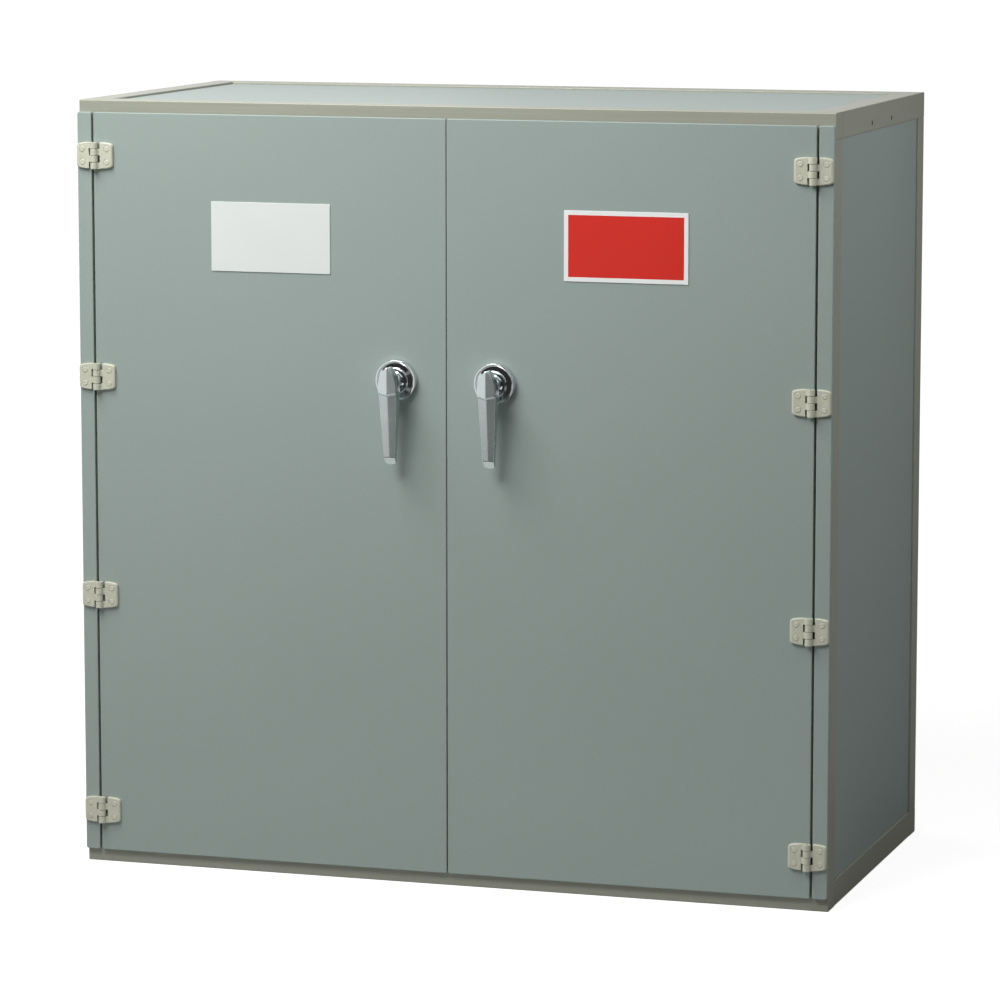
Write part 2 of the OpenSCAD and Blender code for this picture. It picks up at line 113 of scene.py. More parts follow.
# %% [markdown]
# ## Skins, prisms and turned shapes
# A skin joins a stack of rings with four-sided faces and closes both ends. Two shapes follow
# from it. A prism is an outline pulled straight up, whose first and last rings shrink inwards
# along a quarter circle, which rounds its rims. A turned shape is a profile carried round an
# axis, as a lathe would cut it.


# %% Skin, prism and lathe
LEAST_SHARE = 0.3


def skin(rings, closed=False):
    """Rings of equal length, stacked and joined. A closed skin joins the last to the first."""
    rings = np.asarray(rings, float)
    count, size = rings.shape[:2]
    i, j = np.meshgrid(np.arange(count if closed else count - 1), np.arange(size), indexing="ij")
    up, along = (i + 1) % count, (j + 1) % size
    faces = np.stack(
        [i * size + j, i * size + along, up * size + along, up * size + j], -1
    ).reshape(-1, 4)
    caps = [] if closed else [np.arange(size)[::-1], np.arange(size) + (count - 1) * size]
    return rings.reshape(-1, 3), list(faces) + caps


def inward(outline):
    """For each point of an anticlockwise outline, the step that insets both its edges by 1: the
    sum of their normals n and m, over 1 + n.m, which is kept from going too near to 0."""
    edges = unit(np.roll(outline, -1, 0) - outline)
    normals = np.stack([-edges[:, 1], edges[:, 0]], -1)
    previous = np.roll(normals, 1, 0)
    share = np.maximum(1 + (normals * previous).sum(-1, keepdims=True), LEAST_SHARE)
    return (normals + previous) / share


def prism(outline, low, high, rim=0.0, rim_steps=4):
    """An outline pulled from height low to high. Both rims are quarter circles: for an angle a
    from 0 to 90 degrees, a ring is inset by rim(1 - sin a) at height rim(1 - cos a)."""
    outline = np.asarray(outline, float)
    angle = np.linspace(0, math.pi / 2, rim_steps) if rim else np.array([math.pi / 2])
    inset, rise = rim * (1 - np.sin(angle)), rim * (1 - np.cos(angle))
    inset = np.concatenate([inset, inset[::-1]])
    height = np.concatenate([low + rise, (high - rise)[::-1]])
    flat = outline + inset[:, None, None] * inward(outline)
    return skin(np.dstack([flat, np.repeat(height[:, None], len(outline), 1)]))


def turned(profile, closed=False, turns=64):
    """A profile of (radius, height) points carried round the height axis: each point (r, h)
    becomes the circle (r cos a, r sin a, h)."""
    profile = np.asarray(profile, float)
    angle = np.linspace(0, 2 * math.pi, turns, endpoint=False)
    radius, height = profile[:, :1], profile[:, 1:]
    rings = [radius * np.cos(angle), radius * np.sin(angle), height + 0 * angle]
    return skin(np.stack(rings, -1), closed)


def rod(radius, low, high):
    """A plain round bar, used for boring holes."""
    return turned([(0, low), (radius, low), (radius, high), (0, high)], turns=48)


print("a square prism with round rims has", len(prism(unit_square, 0, 1, 0.1)[1]), "faces")


# %% [markdown]
# ## Placing, joining and boring
# Pieces are drawn where they are easy to draw and then placed: right-hand parts are the
# mirror image of left-hand ones about the middle of the cabinet. Holes are bored with Boolean
# modifiers on throw-away objects, because a bore through a rounded shape has no simple
# formula, and the result comes back as arrays like everything else. Most pieces are drawn
# lying down and then either turned to face the front or laid along X.


# %% Place, mirror, join and bore
MM = 0.001
DOUBLES, SLIVERS = 2e-6, 1e-6
FACING_FRONT = dict(right=(1, 0, 0), up=(0, 0, 1), out=(0, -1, 0))
ALONG_X = dict(right=(0, 1, 0), up=(0, 0, 1), out=(1, 0, 0))


def place(shape, origin=(0, 0, 0), right=(1, 0, 0), up=(0, 1, 0), out=(0, 0, 1)):
    """Sends the local point (x, y, z) to origin + x right + y up + z out."""
    points, faces = shape
    return np.asarray(origin, float) + points @ np.array([right, up, out], float), faces


def mirrored(shape):
    """The other hand of a shape: x becomes -x."""
    points, faces = shape
    return points * (-1, 1, 1), [face[::-1] for face in faces]


def joined(shapes):
    """Several shapes as one, with the face numbers shifted along."""
    points, faces, count = [], [], 0
    for shape_points, shape_faces in shapes:
        points.append(shape_points)
        faces += [np.asarray(face) + count for face in shape_faces]
        count += len(shape_points)
    return np.concatenate(points), faces


def mesh_from(name, shape):
    """A mesh in metres with its doubles merged and all its faces pointing outwards."""
    points, faces = shape
    mesh = bpy.data.meshes.new(name)
    mesh.from_pydata((points * MM).tolist(), [], [list(map(int, face)) for face in faces])
    edit = bmesh.new()
    edit.from_mesh(mesh)
    bmesh.ops.remove_doubles(edit, verts=edit.verts, dist=DOUBLES)
    bmesh.ops.dissolve_degenerate(edit, edges=edit.edges, dist=SLIVERS)
    bmesh.ops.recalc_face_normals(edit, faces=edit.faces)
    edit.to_mesh(mesh)
    edit.free()
    return mesh


def bored(shape, *tools, how="DIFFERENCE"):
    """The shape with each tool taken away from it, or added to it with how="UNION"."""
    solids = []
    for each in (shape, *tools):
        solid = bpy.data.objects.new("blank", mesh_from("blank", each))
        bpy.context.scene.collection.objects.link(solid)
        solids.append(solid)
    for tool in solids[1:]:
        cut = solids[0].modifiers.new("bore", "BOOLEAN")
        cut.operation, cut.solver, cut.object = how, "EXACT", tool
    scene_graph = bpy.context.evaluated_depsgraph_get()
    result = bpy.data.meshes.new_from_object(solids[0].evaluated_get(scene_graph))
    points = np.empty(3 * len(result.vertices))
    result.vertices.foreach_get("co", points)
    starts, corners = np.empty(len(result.polygons), int), np.empty(len(result.loops), int)
    result.polygons.foreach_get("loop_start", starts)
    result.loops.foreach_get("vertex_index", corners)
    for solid in solids:
        bpy.data.objects.remove(solid)
    return points.reshape(-1, 3) / MM, np.split(corners, starts[1:])


front_end = place(rod(1, 0, 5), **FACING_FRONT)[0][:, 1].min()
print("a rod 5 mm long that faces the front reaches y =", front_end)


# %% [markdown]
# ## Writing finishes
# A finish is a small network of shader nodes. Written out by hand it would be long, so three
# helpers keep it short. `Amount` wraps one output socket and turns Python arithmetic into Math
# nodes. `Nodes` holds the tree and makes every other node with one method. `Finish` is such a
# tree with the cabinet's usual shader in it.


# %% Amount, Nodes and Finish
class Amount:
    """What a node gives out: its output socket, with Python arithmetic for numbers."""

    def __init__(self, nodes, socket):
        self.nodes, self.socket = nodes, socket

    def maths(self, operation, *others):
        values = dict(enumerate([self, *others]))
        return self.nodes.node("Math", {"operation": operation}, values)

    def __add__(self, other):
        return self.maths("ADD", other)

    def __mul__(self, other):
        return self.maths("MULTIPLY", other)

    __radd__, __rmul__ = __add__, __mul__

    def __sub__(self, other):
        return self.maths("SUBTRACT", other)

    def __rsub__(self, other):
        return (self * -1.0) + other

    def __abs__(self):
        return self.maths("ABSOLUTE")

    def larger(self, other):
        return self.maths("MAXIMUM", other)

    def above(self, other):
        return self.maths("GREATER_THAN", other)

    def limited(self):
        """The same number, kept between 0 and 1."""
        return self.larger(0.0).maths("MINIMUM", 1.0)


class Nodes:
    """The emptied node tree of a material or a world."""

    def __init__(self, owner):
        owner.use_nodes = True
        self.tree = owner.node_tree
        self.tree.nodes.clear()

    def join(self, value, socket):
        """Links an Amount to a socket, or writes a plain value on it."""
        if isinstance(value, Amount):
            self.tree.links.new(value.socket, socket)
        elif socket.type == "RGBA" and len(value) == 3:
            socket.default_value = (*value, 1.0)
        else:
            socket.default_value = value

    def node(self, kind, settings=None, inputs=None, output=0):
        """Any node: its type, then its settings, then its sockets. Gives one output."""
        made = self.tree.nodes.new("ShaderNode" + kind)
        for name, value in (settings or {}).items():
            setattr(made, name, value)
        for name, value in (inputs or {}).items():
            self.join(value, made.inputs[name])
        return Amount(self, made.outputs[output])

    def close(self, shader, kind="OutputMaterial"):
        """Joins the last shader to the tree's output."""
        output = self.tree.nodes.new("ShaderNode" + kind)
        self.join(shader, output.inputs["Surface"])


class Finish(Nodes):
    """A material for this cabinet, with its shader already joined to the output."""

    def __init__(self, name, **constants):
        self.material = bpy.data.materials.new(name)
        super().__init__(self.material)
        self.shader = self.tree.nodes.new("ShaderNodeBsdfPrincipled")
        self.close(Amount(self, self.shader.outputs[0]))
        self.set(**constants)

    def set(self, **values):
        """Writes or links the shader's sockets: base_color becomes Base Color."""
        for name, value in values.items():
            title = name.replace("_", " ").title().replace("Ior", "IOR")
            self.join(value, self.shader.inputs[title])

# %% [markdown]
# Colours are written as they look on a screen, 0 to 255, and turned into the linear light
# that a shader works with. Most finishes need the same few patterns: a place on the piece, a
# soft cloud of noise, a colour that swings between two shades, and a fine relief. Those are
# the next helpers.


# %% Colours and patterns
def seen(red, green, blue):
    """A screen colour as linear light: s/12.92 near black, else ((s + 0.055)/1.055)^2.4."""
    s = np.array([red, green, blue]) / 255
    return tuple(np.where(s <= 0.04045, s / 12.92, ((s + 0.055) / 1.055) ** 2.4).tolist())


def on_piece(finish, scale=(1, 1, 1), centre=(0, 0, 0)):
    """A place on the piece, less its centre, times a scale for each direction."""
    inputs = {"Vector": finish.node("TexCoord", output="Object"), "Scale": scale}
    inputs["Location"] = tuple(-c * s for c, s in zip(centre, scale))
    return finish.node("Mapping", inputs=inputs)


def coordinates(finish, centre=(0, 0, 0)):
    """The x, y and z of a place on the piece, in metres from the centre."""
    spot = finish.node("SeparateXYZ", inputs={0: on_piece(finish, centre=centre)}).socket.node
    return [Amount(finish, socket) for socket in spot.outputs]


def cloud(finish, scale, detail=2.0, stretch=(1, 1, 1), roughness=0.5):
    """Noise from 0 to 1, with `scale` lumps to the metre."""
    inputs = {"Vector": on_piece(finish, stretch), "Scale": scale, "Detail": detail}
    return finish.node("TexNoise", inputs={**inputs, "Roughness": roughness})


def swing(noise, width):
    """Noise brought round 0, so that it swings by half the width to each side."""
    return (noise - 0.5) * width


def shade(colour, factor):
    """A colour made lighter or darker."""
    return tuple(min(1.0, channel * factor) for channel in colour)


def blended(finish, mask, first, second):
    """The first colour where the mask is 0 and the second where it is 1. Inputs 6 and 7 and
    output 2 are the ones that a Mix node uses for colours."""
    settings = {"data_type": "RGBA", "clamp_factor": True}
    return finish.node("Mix", settings, {0: mask, 6: first, 7: second}, output=2)


def shaded(finish, colour, swings, darkest, lightest):
    """A colour between its darkest and lightest shade, half-way where the swings are 0."""
    tone = (swings + 0.5).limited()
    return blended(finish, tone, shade(colour, darkest), shade(colour, lightest))


def relief(finish, height, depth_mm, strength=1.0):
    """Fine bumps, `depth_mm` deep, joined to the shader's normal."""
    inputs = {"Height": height, "Distance": depth_mm * MM, "Strength": strength}
    finish.set(normal=finish.node("Bump", inputs=inputs))


print("a middle grey on screen is", round(seen(128, 128, 128)[0], 3), "in linear light")

# %% [markdown]
# ## The board finish
# Doors, stiles and panels are smooth board in a soft grey-green, with a satin surface. It is
# never quite even: it drifts a little over a hand's width, has a fine fleck, and a very
# shallow orange-peel texture that breaks up reflections. Three clouds of noise at three sizes
# do all of that.


# %% Grey-green board
def board_finish():
    """A satin grey-green that drifts slowly and has a fine fleck."""
    finish = Finish("grey_green_board", ior=1.5, specular_ior_level=0.5)
    drift, fleck, peel = cloud(finish, 3.0, 1.0), cloud(finish, 420.0), cloud(finish, 900.0, 1.0)
    swings = swing(drift, 0.35) + swing(fleck, 0.5)
    finish.set(
        base_color=shaded(finish, seen(150, 163, 158), swings, 0.93, 1.07),
        roughness=swing(drift, 0.1) + swing(peel, 0.06) + 0.42,
    )
    relief(finish, peel, 0.05, 0.5)
    return finish.material


board = board_finish()
print("finish:", board.name)

# %% [markdown]
# ## The trim finish
# The angle rails and posts are drawn sections in a warmer grey-beige. Drawing leaves faint
# lines along their length. Noise that is stretched along one direction gives those lines, so
# rails that run across, back and up each get their own version.


# %% Grey-beige trim, drawn along one direction
def trim_finish(name, along, stretched=0.012):
    """Grey-beige with lines along one axis, where the noise is scaled down to `stretched`."""
    finish = Finish(name, ior=1.5)
    stretch = [1.0, 1.0, 1.0]
    stretch[along] = stretched
    lines = cloud(finish, 520.0, 2.0, tuple(stretch), 0.6)
    broad, peel = cloud(finish, 5.0, 1.0), cloud(finish, 800.0, 1.0)
    swings = swing(lines, 1.1) + swing(broad, 0.4)
    finish.set(
        base_color=shaded(finish, seen(155, 157, 143), swings, 0.9, 1.1),
        roughness=swing(lines, 0.2) + 0.35,
    )
    relief(finish, lines * 0.6 + peel * 0.4, 0.05, 0.4)
    return finish.material


trim_across, trim_back, trim_up = (
    trim_finish(f"grey_beige_trim_{name}", axis)
    for axis, name in enumerate(("across", "back", "up"))
)
print("finish:", trim_across.name, trim_back.name, trim_up.name)

# %% [markdown]
# ## Hinge plastic and screw enamel
# The hinges are moulded in ivory plastic with a fine fleck, and their screws are enamelled to
# match, a little warmer. Both are dielectric: the colour sits under a clear, soft gloss.


# %% Ivory plastic, ivory enamel
def ivory_finish(name, colour, flecks, roughness):
    """A flecked ivory, with that many flecks to the metre."""
    finish = Finish(name, ior=1.49)
    fleck, drift = cloud(finish, flecks, 3.0, roughness=0.7), cloud(finish, 40.0, 1.0)
    swings = swing(fleck, 1.8) + swing(drift, 0.6)
    finish.set(
        base_color=shaded(finish, colour, swings, 0.84, 1.1),
        roughness=swing(fleck, 0.2) + roughness,
    )
    relief(finish, fleck, 0.06, 0.5)
    return finish.material


hinge_plastic = ivory_finish("ivory_plastic", seen(199, 200, 181), 620.0, 0.42)
screw_enamel = ivory_finish("ivory_enamel", seen(203, 203, 186), 900.0, 0.34)
print("finish:", hinge_plastic.name, screw_enamel.name)

# %% [markdown]
# ## Bright metal
# The escutcheon is polished chrome, the lever and its cover are chrome with a softer, blasted
# surface. A metal shows what is round it, so its own colour matters less than how sharply it
# reflects. Faint smears and a fine grain in the roughness keep it from looking like a mirror
# in a shop window. The lever's neck, behind its blasted part, is polished too. Steel and brass
# use the same recipe with their own colour and grain.


# %% Chrome, steel and brass
NECK_Y, POLISH = -230.0, 0.75


def metal_finish(name, colour, roughness, grain, grain_mm, polished_behind=None):
    """Metal with smears and a grain. Behind a plane across Y it is smoother by POLISH."""
    finish = Finish(name, metallic=1.0)
    smear, fine = cloud(finish, 60.0, 3.0), cloud(finish, grain, 2.0)
    swings = swing(smear, 0.5) + swing(fine, 0.7)
    rough = swing(smear, roughness * 0.5) + swing(fine, roughness * 0.5) + roughness
    if polished_behind is not None:
        depth = coordinates(finish)[1]
        rough = rough * (1.0 - depth.above(polished_behind * MM) * POLISH)
    finish.set(base_color=shaded(finish, colour, swings, 0.92, 1.05), roughness=rough)
    relief(finish, fine, grain_mm, 0.3)
    return finish.material


polished_chrome = metal_finish("polished_chrome", seen(222, 225, 226), 0.07, 500.0, 0.004)
satin_chrome = metal_finish("satin_chrome", seen(219, 229, 227), 0.24, 1500.0, 0.01, NECK_Y)
plain_steel = metal_finish("plain_steel", seen(190, 192, 194), 0.33, 700.0, 0.02)
lock_brass = metal_finish("lock_brass", seen(214, 188, 120), 0.28, 900.0, 0.015)
print("finish:", polished_chrome.name, satin_chrome.name, plain_steel.name, lock_brass.name)

# %% [markdown]
# ## Label plates and rubber
# Each door carries a plain printed plate. One is white. The other is red inside a white
# border, and the border is worked out from the distance to the plate's middle, so it needs no
# picture: a point belongs to the red field where it lies inside a smaller rectangle.


# %% White plate, red plate, rubber
LABEL_X, LABEL_Z, LABEL_W, LABEL_H, BORDER = 212.0, 746.0, 145.0, 80.0, 5.0


def plate_finish(name, white, field=None):
    """A printed plate. With a field colour, that colour fills it up to a white border."""
    finish = Finish(name, ior=1.46)
    drift, fine = cloud(finish, 14.0, 1.0), cloud(finish, 900.0, 1.0)
    swings = swing(drift, 0.8) + swing(fine, 0.4)
    colour = shaded(finish, white, swings, 0.96, 1.03)
    if field:
        across, _, up = coordinates(finish, (LABEL_X * MM, 0.0, LABEL_Z * MM))
        wide, high = (LABEL_W / 2 - BORDER) * MM, (LABEL_H / 2 - BORDER) * MM
        outside = (abs(across) - wide).larger(abs(up) - high).above(0.0)
        inside = shaded(finish, field, swings, 0.94, 1.05)
        colour = blended(finish, outside, inside, colour)
    finish.set(base_color=colour, roughness=swing(fine, 0.08) + 0.36)
    relief(finish, fine, 0.02, 0.4)
    return finish.material


def rubber_finish():
    """Near-black rubber with a dull, finely grained skin."""
    finish = Finish("black_rubber")
    fine = cloud(finish, 1200.0)
    finish.set(
        base_color=blended(finish, fine, seen(30, 30, 30), seen(48, 48, 47)),
        roughness=swing(fine, 0.1) + 0.75,
    )
    relief(finish, fine, 0.05, 0.6)
    return finish.material


white_plate = plate_finish("white_plate", seen(222, 227, 223))
red_plate = plate_finish("red_plate", seen(238, 241, 239), seen(214, 43, 32))
rubber = rubber_finish()
print("finish:", white_plate.name, red_plate.name, rubber.name)

# %% [markdown]
# ## Dressing a part
# A finished piece stands for a CAD part: it rides on the same body, so it opens and turns with
# it, and it wears the finish that it is given. Faces that meet at less than 32 degrees are
# shaded as one smooth surface, and large flat faces decide the shading beside them, which
# keeps flat sheet flat right up to its rounded edge. The cabinet is the same on both hands, so
# most pieces are drawn for the right and mirrored for the left.


# %% Dress a part
SMOOTH_BELOW, SMOOTH_BELOW_CAST = 32.0, 25.0


def dress(node, shape, material, angle=SMOOTH_BELOW):
    """Makes the finished piece for a CAD part and puts it in that part's place."""
    mesh = mesh_from(node, shape)
    mesh.shade_smooth()
    mesh.set_sharp_from_angle(angle=math.radians(angle))
    mesh.materials.append(material)
    piece = bpy.data.objects.new(node + "_finished", mesh)
    bpy.context.scene.collection.objects.link(piece)
    even = piece.modifiers.new("even shading", "WEIGHTED_NORMAL")
    even.keep_sharp = True
    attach(piece, body_of[node])
    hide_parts(node)


def dress_pair(name, shape, material, angle=SMOOTH_BELOW):
    """Dresses the right-hand part with a shape and the left-hand part with its mirror image."""
    dress("right_" + name, shape, material, angle)
    dress("left_" + name, mirrored(shape), material, angle)


def size_of(node):
    """A CAD part's lowest and highest corner in millimetres."""
    return tuple(np.array(corner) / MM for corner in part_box(node))


def sheet_part(node, rim, corner, lean=0.0):
    """A flat panel with the part's own size: its outline has round corners, its rims are
    quarter circles, and it is drawn lying down and then turned to face its thin direction.
    The outline's last corner moves out by the lean, so that edge isn't quite upright."""
    low, high = size_of(node)
    thin = int(np.argmin(high - low))
    first, second = [axis for axis in range(3) if axis != thin]
    corners = rectangle(low[[first, second]], high[[first, second]])
    corners[3, 0] -= lean
    axes = np.eye(3)
    return place(
        prism(soften(corners, corner), low[thin], high[thin], rim),
        right=axes[first], up=axes[second], out=axes[thin],
    )


print(len(body_of), "parts on", len(set(body_of.values())), "bodies can be dressed")

# %% [markdown]
# ## The frame of angle rails
# Eight rails and four posts make the frame. Each is an angle section 30 mm wide, 2.5 mm thick.
# The rails that run across have closed ends, which show as small squares at the corners. They
# are made from a solid bar with round edges and a block taken out of it from the inside. The
# rails between them and the posts are an L-shaped outline pulled along its length.


# %% Rails that run across
LEG, WALL, BAR_CORNER, BAR_RIM = 30.0, 2.5, 1.6, 0.8


def cross_rail(node):
    """A bar with round edges, less a block from the two sides that face the cabinet, which the
    block passes by a millimetre."""
    low, high = size_of(node)
    bar = prism(soften(rectangle(low[1:], high[1:]), BAR_CORNER), low[0], high[0], BAR_RIM)
    inner_low, inner_high, past = low + WALL, high - WALL, WALL + 1
    if "front" in node:
        inner_high[1] += past
    else:
        inner_low[1] -= past
    if "top" in node:
        inner_low[2] -= past
    else:
        inner_high[2] += past
    block = prism(rectangle(inner_low[:2], inner_high[:2]), inner_low[2], inner_high[2])
    return bored(place(bar, **ALONG_X), block)


for name in ("front_top", "rear_top", "front_bottom", "rear_bottom"):
    dress(name + "_rail", cross_rail(name + "_rail"), trim_across)
print("four rails across, with closed ends")

# %% [markdown]
# The L outline has its outer corner at the origin and its legs towards +X and +Y. The outer
# corner of a rolled angle is round, and so is the inner one, a little less.


# %% Rails along the sides, and posts
HOLE_R, HOLE_Z, HOLES_APART, SIDE_INSIDE, SIDE_OUTSIDE = 3.0, 879.0, 100.0, 430.0, 460.0
SAWN_RIM = 0.35


def angle_outline(leg=LEG, wall=WALL):
    """An L with a round outer corner, a smaller round inner one, and toes that are round on
    the outside and sharp on the inside."""
    corners = [(0, 0), (leg, 0), (leg, wall), (wall, wall), (wall, leg), (0, leg)]
    return soften(corners, [1.6, 2.2, 0.1, 1.2, 0.1, 2.2], 6)


def fixing_holes(node):
    """Two rods through the top of a side part, for the holes that hang the cabinet. They lie
    at the same distance before and behind the part's middle."""
    low, high = size_of(node)
    hole, middle = rod(HOLE_R, SIDE_INSIDE, SIDE_OUTSIDE), (low[1] + high[1]) / 2
    ys = (middle - HOLES_APART / 2, middle + HOLES_APART / 2)
    return [place(hole, (0, y, HOLE_Z), **ALONG_X) for y in ys]


def side_rail(level):
    """A right-hand rail at the top or bottom, drawn along Y, between the rails across."""
    node = f"right_{level}_rail"
    low, high = size_of(node)
    angle = prism(angle_outline(), low[1], high[1], SAWN_RIM, 3)
    if level == "bottom":
        return place(angle, (high[0], 0, low[2]), (-1, 0, 0), (0, 0, 1), (0, 1, 0))
    rail = place(angle, (high[0], 0, high[2]), (-1, 0, 0), (0, 0, -1), (0, 1, 0))
    return bored(rail, *fixing_holes(node))


def post(end):
    """A right-hand post at the front or rear, between the rails."""
    low, high = size_of(f"{end}_right_post")
    corner, inward_y = (low[1], 1) if end == "front" else (high[1], -1)
    angle = prism(angle_outline(), low[2], high[2], SAWN_RIM, 3)
    return place(angle, (high[0], corner, 0), (-1, 0, 0), (0, inward_y, 0), (0, 0, 1))


for level in ("top", "bottom"):
    dress_pair(f"{level}_rail", side_rail(level), trim_back)
for end in ("front", "rear"):
    dress(f"{end}_right_post", post(end), trim_up)
    dress(f"{end}_left_post", mirrored(post(end)), trim_up)
print("four rails along the sides, four posts")

# %% [markdown]
# ## Panels
# The side, top, bottom and back panels and the partition are plain sheets inside the frame.
# The side panels share the two fixing holes with the rails in front of them.

# %% Panels, partition and mullion
PANEL_RIM, PANEL_CORNER, MULLION_RIM = 0.6, 1.0, 0.8

side_panel = sheet_part("right_side_panel", PANEL_RIM, PANEL_CORNER)
dress_pair("side_panel", bored(side_panel, *fixing_holes("right_side_panel")), board)
for node in ("top_panel", "bottom_panel", "back_panel", "centre_partition"):
    dress(node, sheet_part(node, PANEL_RIM, PANEL_CORNER), board)
dress("centre_mullion", sheet_part("centre_mullion", MULLION_RIM, PANEL_CORNER), trim_up)
print("six panels, one partition, one mullion")

# %% [markdown]
# ## Doors and hinge stiles
# The doors and the two narrow stiles beside them lie in front of the frame. Their edges are
# a little rounder than those of the panels, and catch a thin line of light. The slit between
# the doors is finer at the top than at the bottom, so each door's edge leans by a third of a
# millimetre. Each door has one hole for the tube of its handle.

# %% Doors and stiles
SPINDLE_X, SPINDLE_Z, TUBE_R = 59.0, 587.0, 10.0
DOOR_RIM, DOOR_CORNER, DOOR_LEAN, PLATE_RIM, PLATE_CORNER = 1.1, 2.4, 0.35, 0.3, 0.8
FACE_Y = float(size_of("right_door_panel")[0][1])

handle_hole = place(rod(TUBE_R, -20, 20), (SPINDLE_X, FACE_Y, SPINDLE_Z), **FACING_FRONT)
door = bored(sheet_part("right_door_panel", DOOR_RIM, DOOR_CORNER, DOOR_LEAN), handle_hole)
dress_pair("door_panel", door, board)
for side, finish in (("left", white_plate), ("right", red_plate)):
    stile, label = f"{side}_hinge_stile", f"{side}_label_plate"
    dress(stile, sheet_part(stile, DOOR_RIM, DOOR_CORNER), board)
    dress(label, sheet_part(label, PLATE_RIM, PLATE_CORNER), finish)
print("two doors, two stiles, two label plates, the doors' faces at y =", round(FACE_Y, 2))

# %% [markdown]
# ## Shelves and small fittings
# A shelf is a sheet with its front edge folded up into a lip, so that bottles don't slide out.
# Its outline seen from the side is a thin L, pulled across the bay. Angles under its ends
# carry it. Rubber bumpers hold the doors off the frame, and thin steel plates behind the
# mullion take the wear of the latches.


# %% Shelves with a lip, and the angles that carry them
CARRIER_LEG, CARRIER_WALL, PARTITION_FACE = 15.0, 2.0, 3.0


def shelf(node, thick=4.0, lip=3.0):
    """The side view of a shelf and its lip, pulled along X."""
    low, high = size_of(node)
    floor = low[2] + thick
    corners = [low[1:], (high[1], low[2]), (high[1], floor), (low[1] + lip, floor),
               (low[1] + lip, high[2]), (low[1], high[2])]
    outline = soften(corners, [2.0, 0.9, 0.9, 1.6, 1.2, 1.2])
    return place(prism(outline, low[0], high[0], 0.4, 3), **ALONG_X)


for node in ("lower_shelf", "upper_shelf"):
    for side in ("left", "right"):
        dress(f"{side}_{node}", shelf(f"{side}_{node}"), board)

low, high = size_of("shelf_rails")
angle = prism(angle_outline(CARRIER_LEG, CARRIER_WALL), low[1], high[1], 0.3, 3)
shelf_heights = [size_of(f"right_{level}_shelf")[0][2] for level in ("lower", "upper")]
carriers = [
    place(angle, (wall, 0, z), (direction, 0, 0), (0, 0, -1), (0, 1, 0))
    for z in shelf_heights
    for wall, direction in ((PARTITION_FACE, 1), (high[0], -1))
]
dress("shelf_rails", joined(carriers + [mirrored(one) for one in carriers]), trim_back)
print("four shelves on eight angles at heights", np.round(shelf_heights, 1).tolist())

# %% Bumpers and strike plates
FRONT_Y = float(size_of("centre_mullion")[0][1])
BUMPER_XS, BUMPER_ZS, STRIKE_START = (10.0, 425.1), (100.0, 800.0), 4.0

bumper_profile = soften([(0, 0), (4.0, 0), (4.0, 0.4), (3.2, 1.0), (0, 1.0)],
                        [0, 0.05, 0.3, 0.6, 0], 4)
bumper = turned(bumper_profile, turns=32)
bumpers = [place(bumper, (x, FRONT_Y, z), **FACING_FRONT) for x in BUMPER_XS for z in BUMPER_ZS]
dress("door_bumpers", joined(bumpers + [mirrored(one) for one in bumpers]), rubber)

low, high = size_of("strike_plates")
outline = soften(rectangle((STRIKE_START, low[2]), (high[0], high[2])), 2.0)
plate = place(prism(outline, -high[1], -low[1], 0.15), **FACING_FRONT)
dress("strike_plates", joined([plate, mirrored(plate)]), plain_steel)
print("eight bumpers, two strike plates")

# %% [markdown]
# ## Moulded hinges
# A hinge has two leaves and a pin. Each leaf is a thick plate with crowned top and bottom
# edges, and two knuckles that wrap round the pin and alternate with those of the other leaf.
# A knuckle with its web is one outline seen along the pin: most of a circle that runs into a
# flat bar. The leaf and its knuckles are added together and bored for the pin, and each screw
# head gets a shallow recess. Drawing one leaf and mirroring it for the rest keeps them alike.

# %% The outline of a knuckle
PIN_X, PIN_Y = 427.3, FACE_Y - 5.0
HINGE_ZS = np.linspace(64.0, 836.0, 4)
KNUCKLE_R, KNUCKLE_H, KNUCKLE_PITCH, KNUCKLE_RIM = 4.4, 7.45, 7.85, 0.45


def knuckle_outline():
    """A circle round the pin from its back to its front, then a web that dips into the leaf.
    The first coordinate runs towards the leaf and the second towards the cabinet."""
    angle = np.radians(np.linspace(90, 348, 34))
    barrel = KNUCKLE_R * np.stack([np.cos(angle), np.sin(angle)], -1)
    web = np.array([(4.9, 0.3), (5.6, 0.75), (7.4, 0.95), (9.4, 1.5), (9.4, 4.3), (3.0, 4.35)])
    return np.concatenate([barrel, web])


print(len(knuckle_outline()), "points round a knuckle and its web")

# %% One leaf with its knuckles
LEAF_START, LEAF_WIDTH, LEAF_HALF_H, LEAF_CROWN, LEAF_CORNER = 6.9, 15.6, 15.5, 2.2, 3.6
LEAF_BACK, LEAF_EDGE, LEAF_RISE, NARROWER, LOWER = -5.0, -2.9, 2.15, 0.19, 0.075
SCREW_X, SCREW_Z, SCREW_SEAT, RECESS_R, RECESS_Y, RECESS_START = 15.0, 7.7, 1.15, 3.7, 5.75, 4.6
FRAME_BORE, DOOR_BORE = 1.5, 1.55


